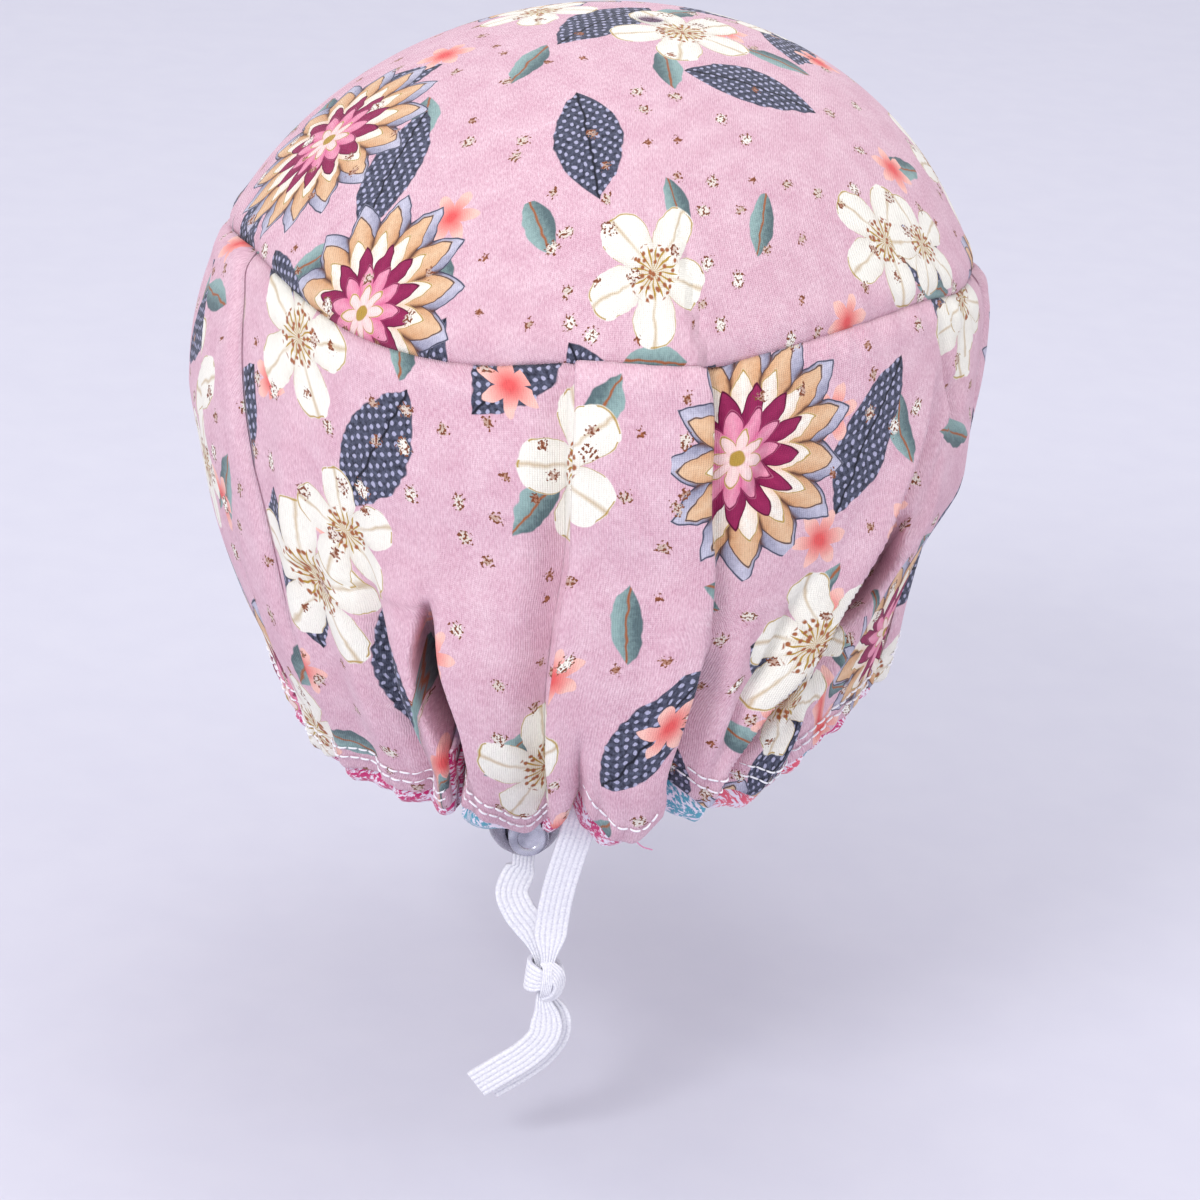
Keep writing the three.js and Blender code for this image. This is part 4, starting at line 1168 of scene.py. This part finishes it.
painter = principled("mottled_facing", Roughness=0.9, Sheen_Weight=0.3, Specular_IOR_Level=0.2)
place = painter.attribute("cut_place")
across, down, _ = painter.split(place)
streaks, patches = painter.noise(painter.join(across * 1.2, down), 700, 3, 0.6), painter.noise(place, 210, 2)
tint_at = painter.attribute("tint", "Fac") + (patches - 0.5) * 0.7
strong = painter.mix(tint_at.rises(0.3, 0.7), linear(196, 30, 108), linear(84, 160, 182))
strong = painter.mix(tint_at.rises(1.3, 1.7), strong, linear(222, 92, 116))
fleck = (streaks + (patches - 0.5) * 0.5).rises(0.44, 0.53)
finish(painter, [facing], painter.mix(fleck, linear(236, 226, 240), strong), streaks, 0.25 * mm, 0.8)

# %% Finish the elastic and the threads
painter = principled("white_elastic_rib", Roughness=0.62, Sheen_Weight=0.2, Specular_IOR_Level=0.35)
cross_threads = painter.noise(painter.object_place(), 1900, 2, 0.6)
groove = painter.attribute("groove", "Fac").power(1.6)
# painted shade: the grooves between the ribs are coloured darker grey
colour = painter.mix(cross_threads.rises(0.3, 0.7) * 0.4 + groove * 0.9, linear(250, 250, 253),
                     linear(176, 176, 194))
finish(painter, (elastic_left, elastic_right, knot), colour, cross_threads, 0.1 * mm, 0.4)

for name, piece, roughness, dark, light in (
        ("white_thread", stitches, 0.55, linear(228, 228, 236), linear(250, 250, 252)),
        ("pink_thread", thread, 0.6, linear(232, 130, 176), linear(246, 172, 204))):
    painter = principled(name, Roughness=roughness, Sheen_Weight=0.2)
    twist = painter.noise(painter.object_place(), 2600, 2)
    finish(painter, [piece], painter.mix(twist, dark, light), twist, 0.06 * mm)

# %% Finish the lock
for name, piece, dark, light, sockets in (
        ("smoky_plastic", ball, linear(124, 118, 134), linear(158, 152, 170),
         dict(Transmission_Weight=0.2, IOR=1.46, Specular_IOR_Level=0.6, Coat_Weight=0.4)),
        ("plunger_plastic", plunger, linear(150, 150, 164), linear(206, 206, 218),
         dict(Metallic=0.8, IOR=1.5, Coat_Weight=0.5)),
        ("spring_wire", spring, linear(170, 170, 176), linear(206, 206, 210), dict(Metallic=1.0))):
    painter = principled(name, **sockets)
    haze, scuffs = (painter.noise(painter.object_place(), *scale) for scale in ((240, 3), (1400, 2)))
    painter.link(scuffs.rises(0.2, 0.9) * 0.2 + 0.16, painter.shader.inputs["Roughness"])
    finish(painter, [piece], painter.mix(haze.rises(0.3, 0.7), dark, light), haze, 0.03 * mm, 0.4)
print("materials:", [material.name for material in bpy.data.materials])

# %% [markdown]
# ## The cords and what holds them
# Both cords' routes are read out as points, with the pieces that hold each: the knot, and for
# the left one also the ball, the plunger and the coil. Nothing is kept from it.

for piece, path, length, held in ((elastic_left, left_path, left_length, [knot, ball, plunger, spring]),
                                  (elastic_right, right_path, right_length, [knot])):
    tuple(path[0])
    [tuple(point) for point in path]
    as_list(held)

# %% [markdown]
# ## Floor and light
# The floor is pale and plain. Most of the light comes evenly from all round, so that only
# the deep gathers go dark. A soft light from the upper left, one from above and a weak one
# from the right add the gentle shading beside the pleat.

# %% Light the cap
floor_z, floor_reach = -0.262, 4
floor_mesh = bpy.data.meshes.new("floor")
floor_mesh.from_pydata([(x * floor_reach, y * floor_reach, floor_z) for x, y in ((-1, -1), (1, -1), (1, 1), (-1, 1))],
                       [], [(0, 1, 2, 3)])
floor = in_scene("floor", floor_mesh)
painter = principled("floor_paper", Roughness=0.9)
paper = painter.mix(painter.noise(painter.object_place(), 60, 3), linear(204, 204, 218), linear(210, 210, 222))
painter.link(paper, painter.shader.inputs["Base Color"])
floor_mesh.materials.append(painter.material)

middle_of_cap = Vector((0, 0, -0.1))
for name, place, size, power in (("key", (-1, -1.2, 1.1), 0.7, 17), ("fill", (1.4, -0.9, 0.7), 0.9, 3.5),
                                 ("top", (0.2, 0.6, 1.6), 0.9, 5)):
    lamp = bpy.data.lights.new(name, "AREA")
    lamp.shape, lamp.size, lamp.energy = "DISK", size, power
    light = in_scene(name, lamp)
    light.location = place
    light.rotation_euler = (Vector(place) - middle_of_cap).to_track_quat("Z", "Y").to_euler()
    print(name, "light of", power, "watts")
world = bpy.data.worlds.new("studio")
world.use_nodes = True
sky_colour, sky_strength = world.node_tree.nodes["Background"].inputs[:2]
sky_colour.default_value, sky_strength.default_value = (0.86, 0.85, 0.90, 1), 1.04
bpy.context.scene.world = world
bpy.context.scene.view_settings.view_transform = "Standard"
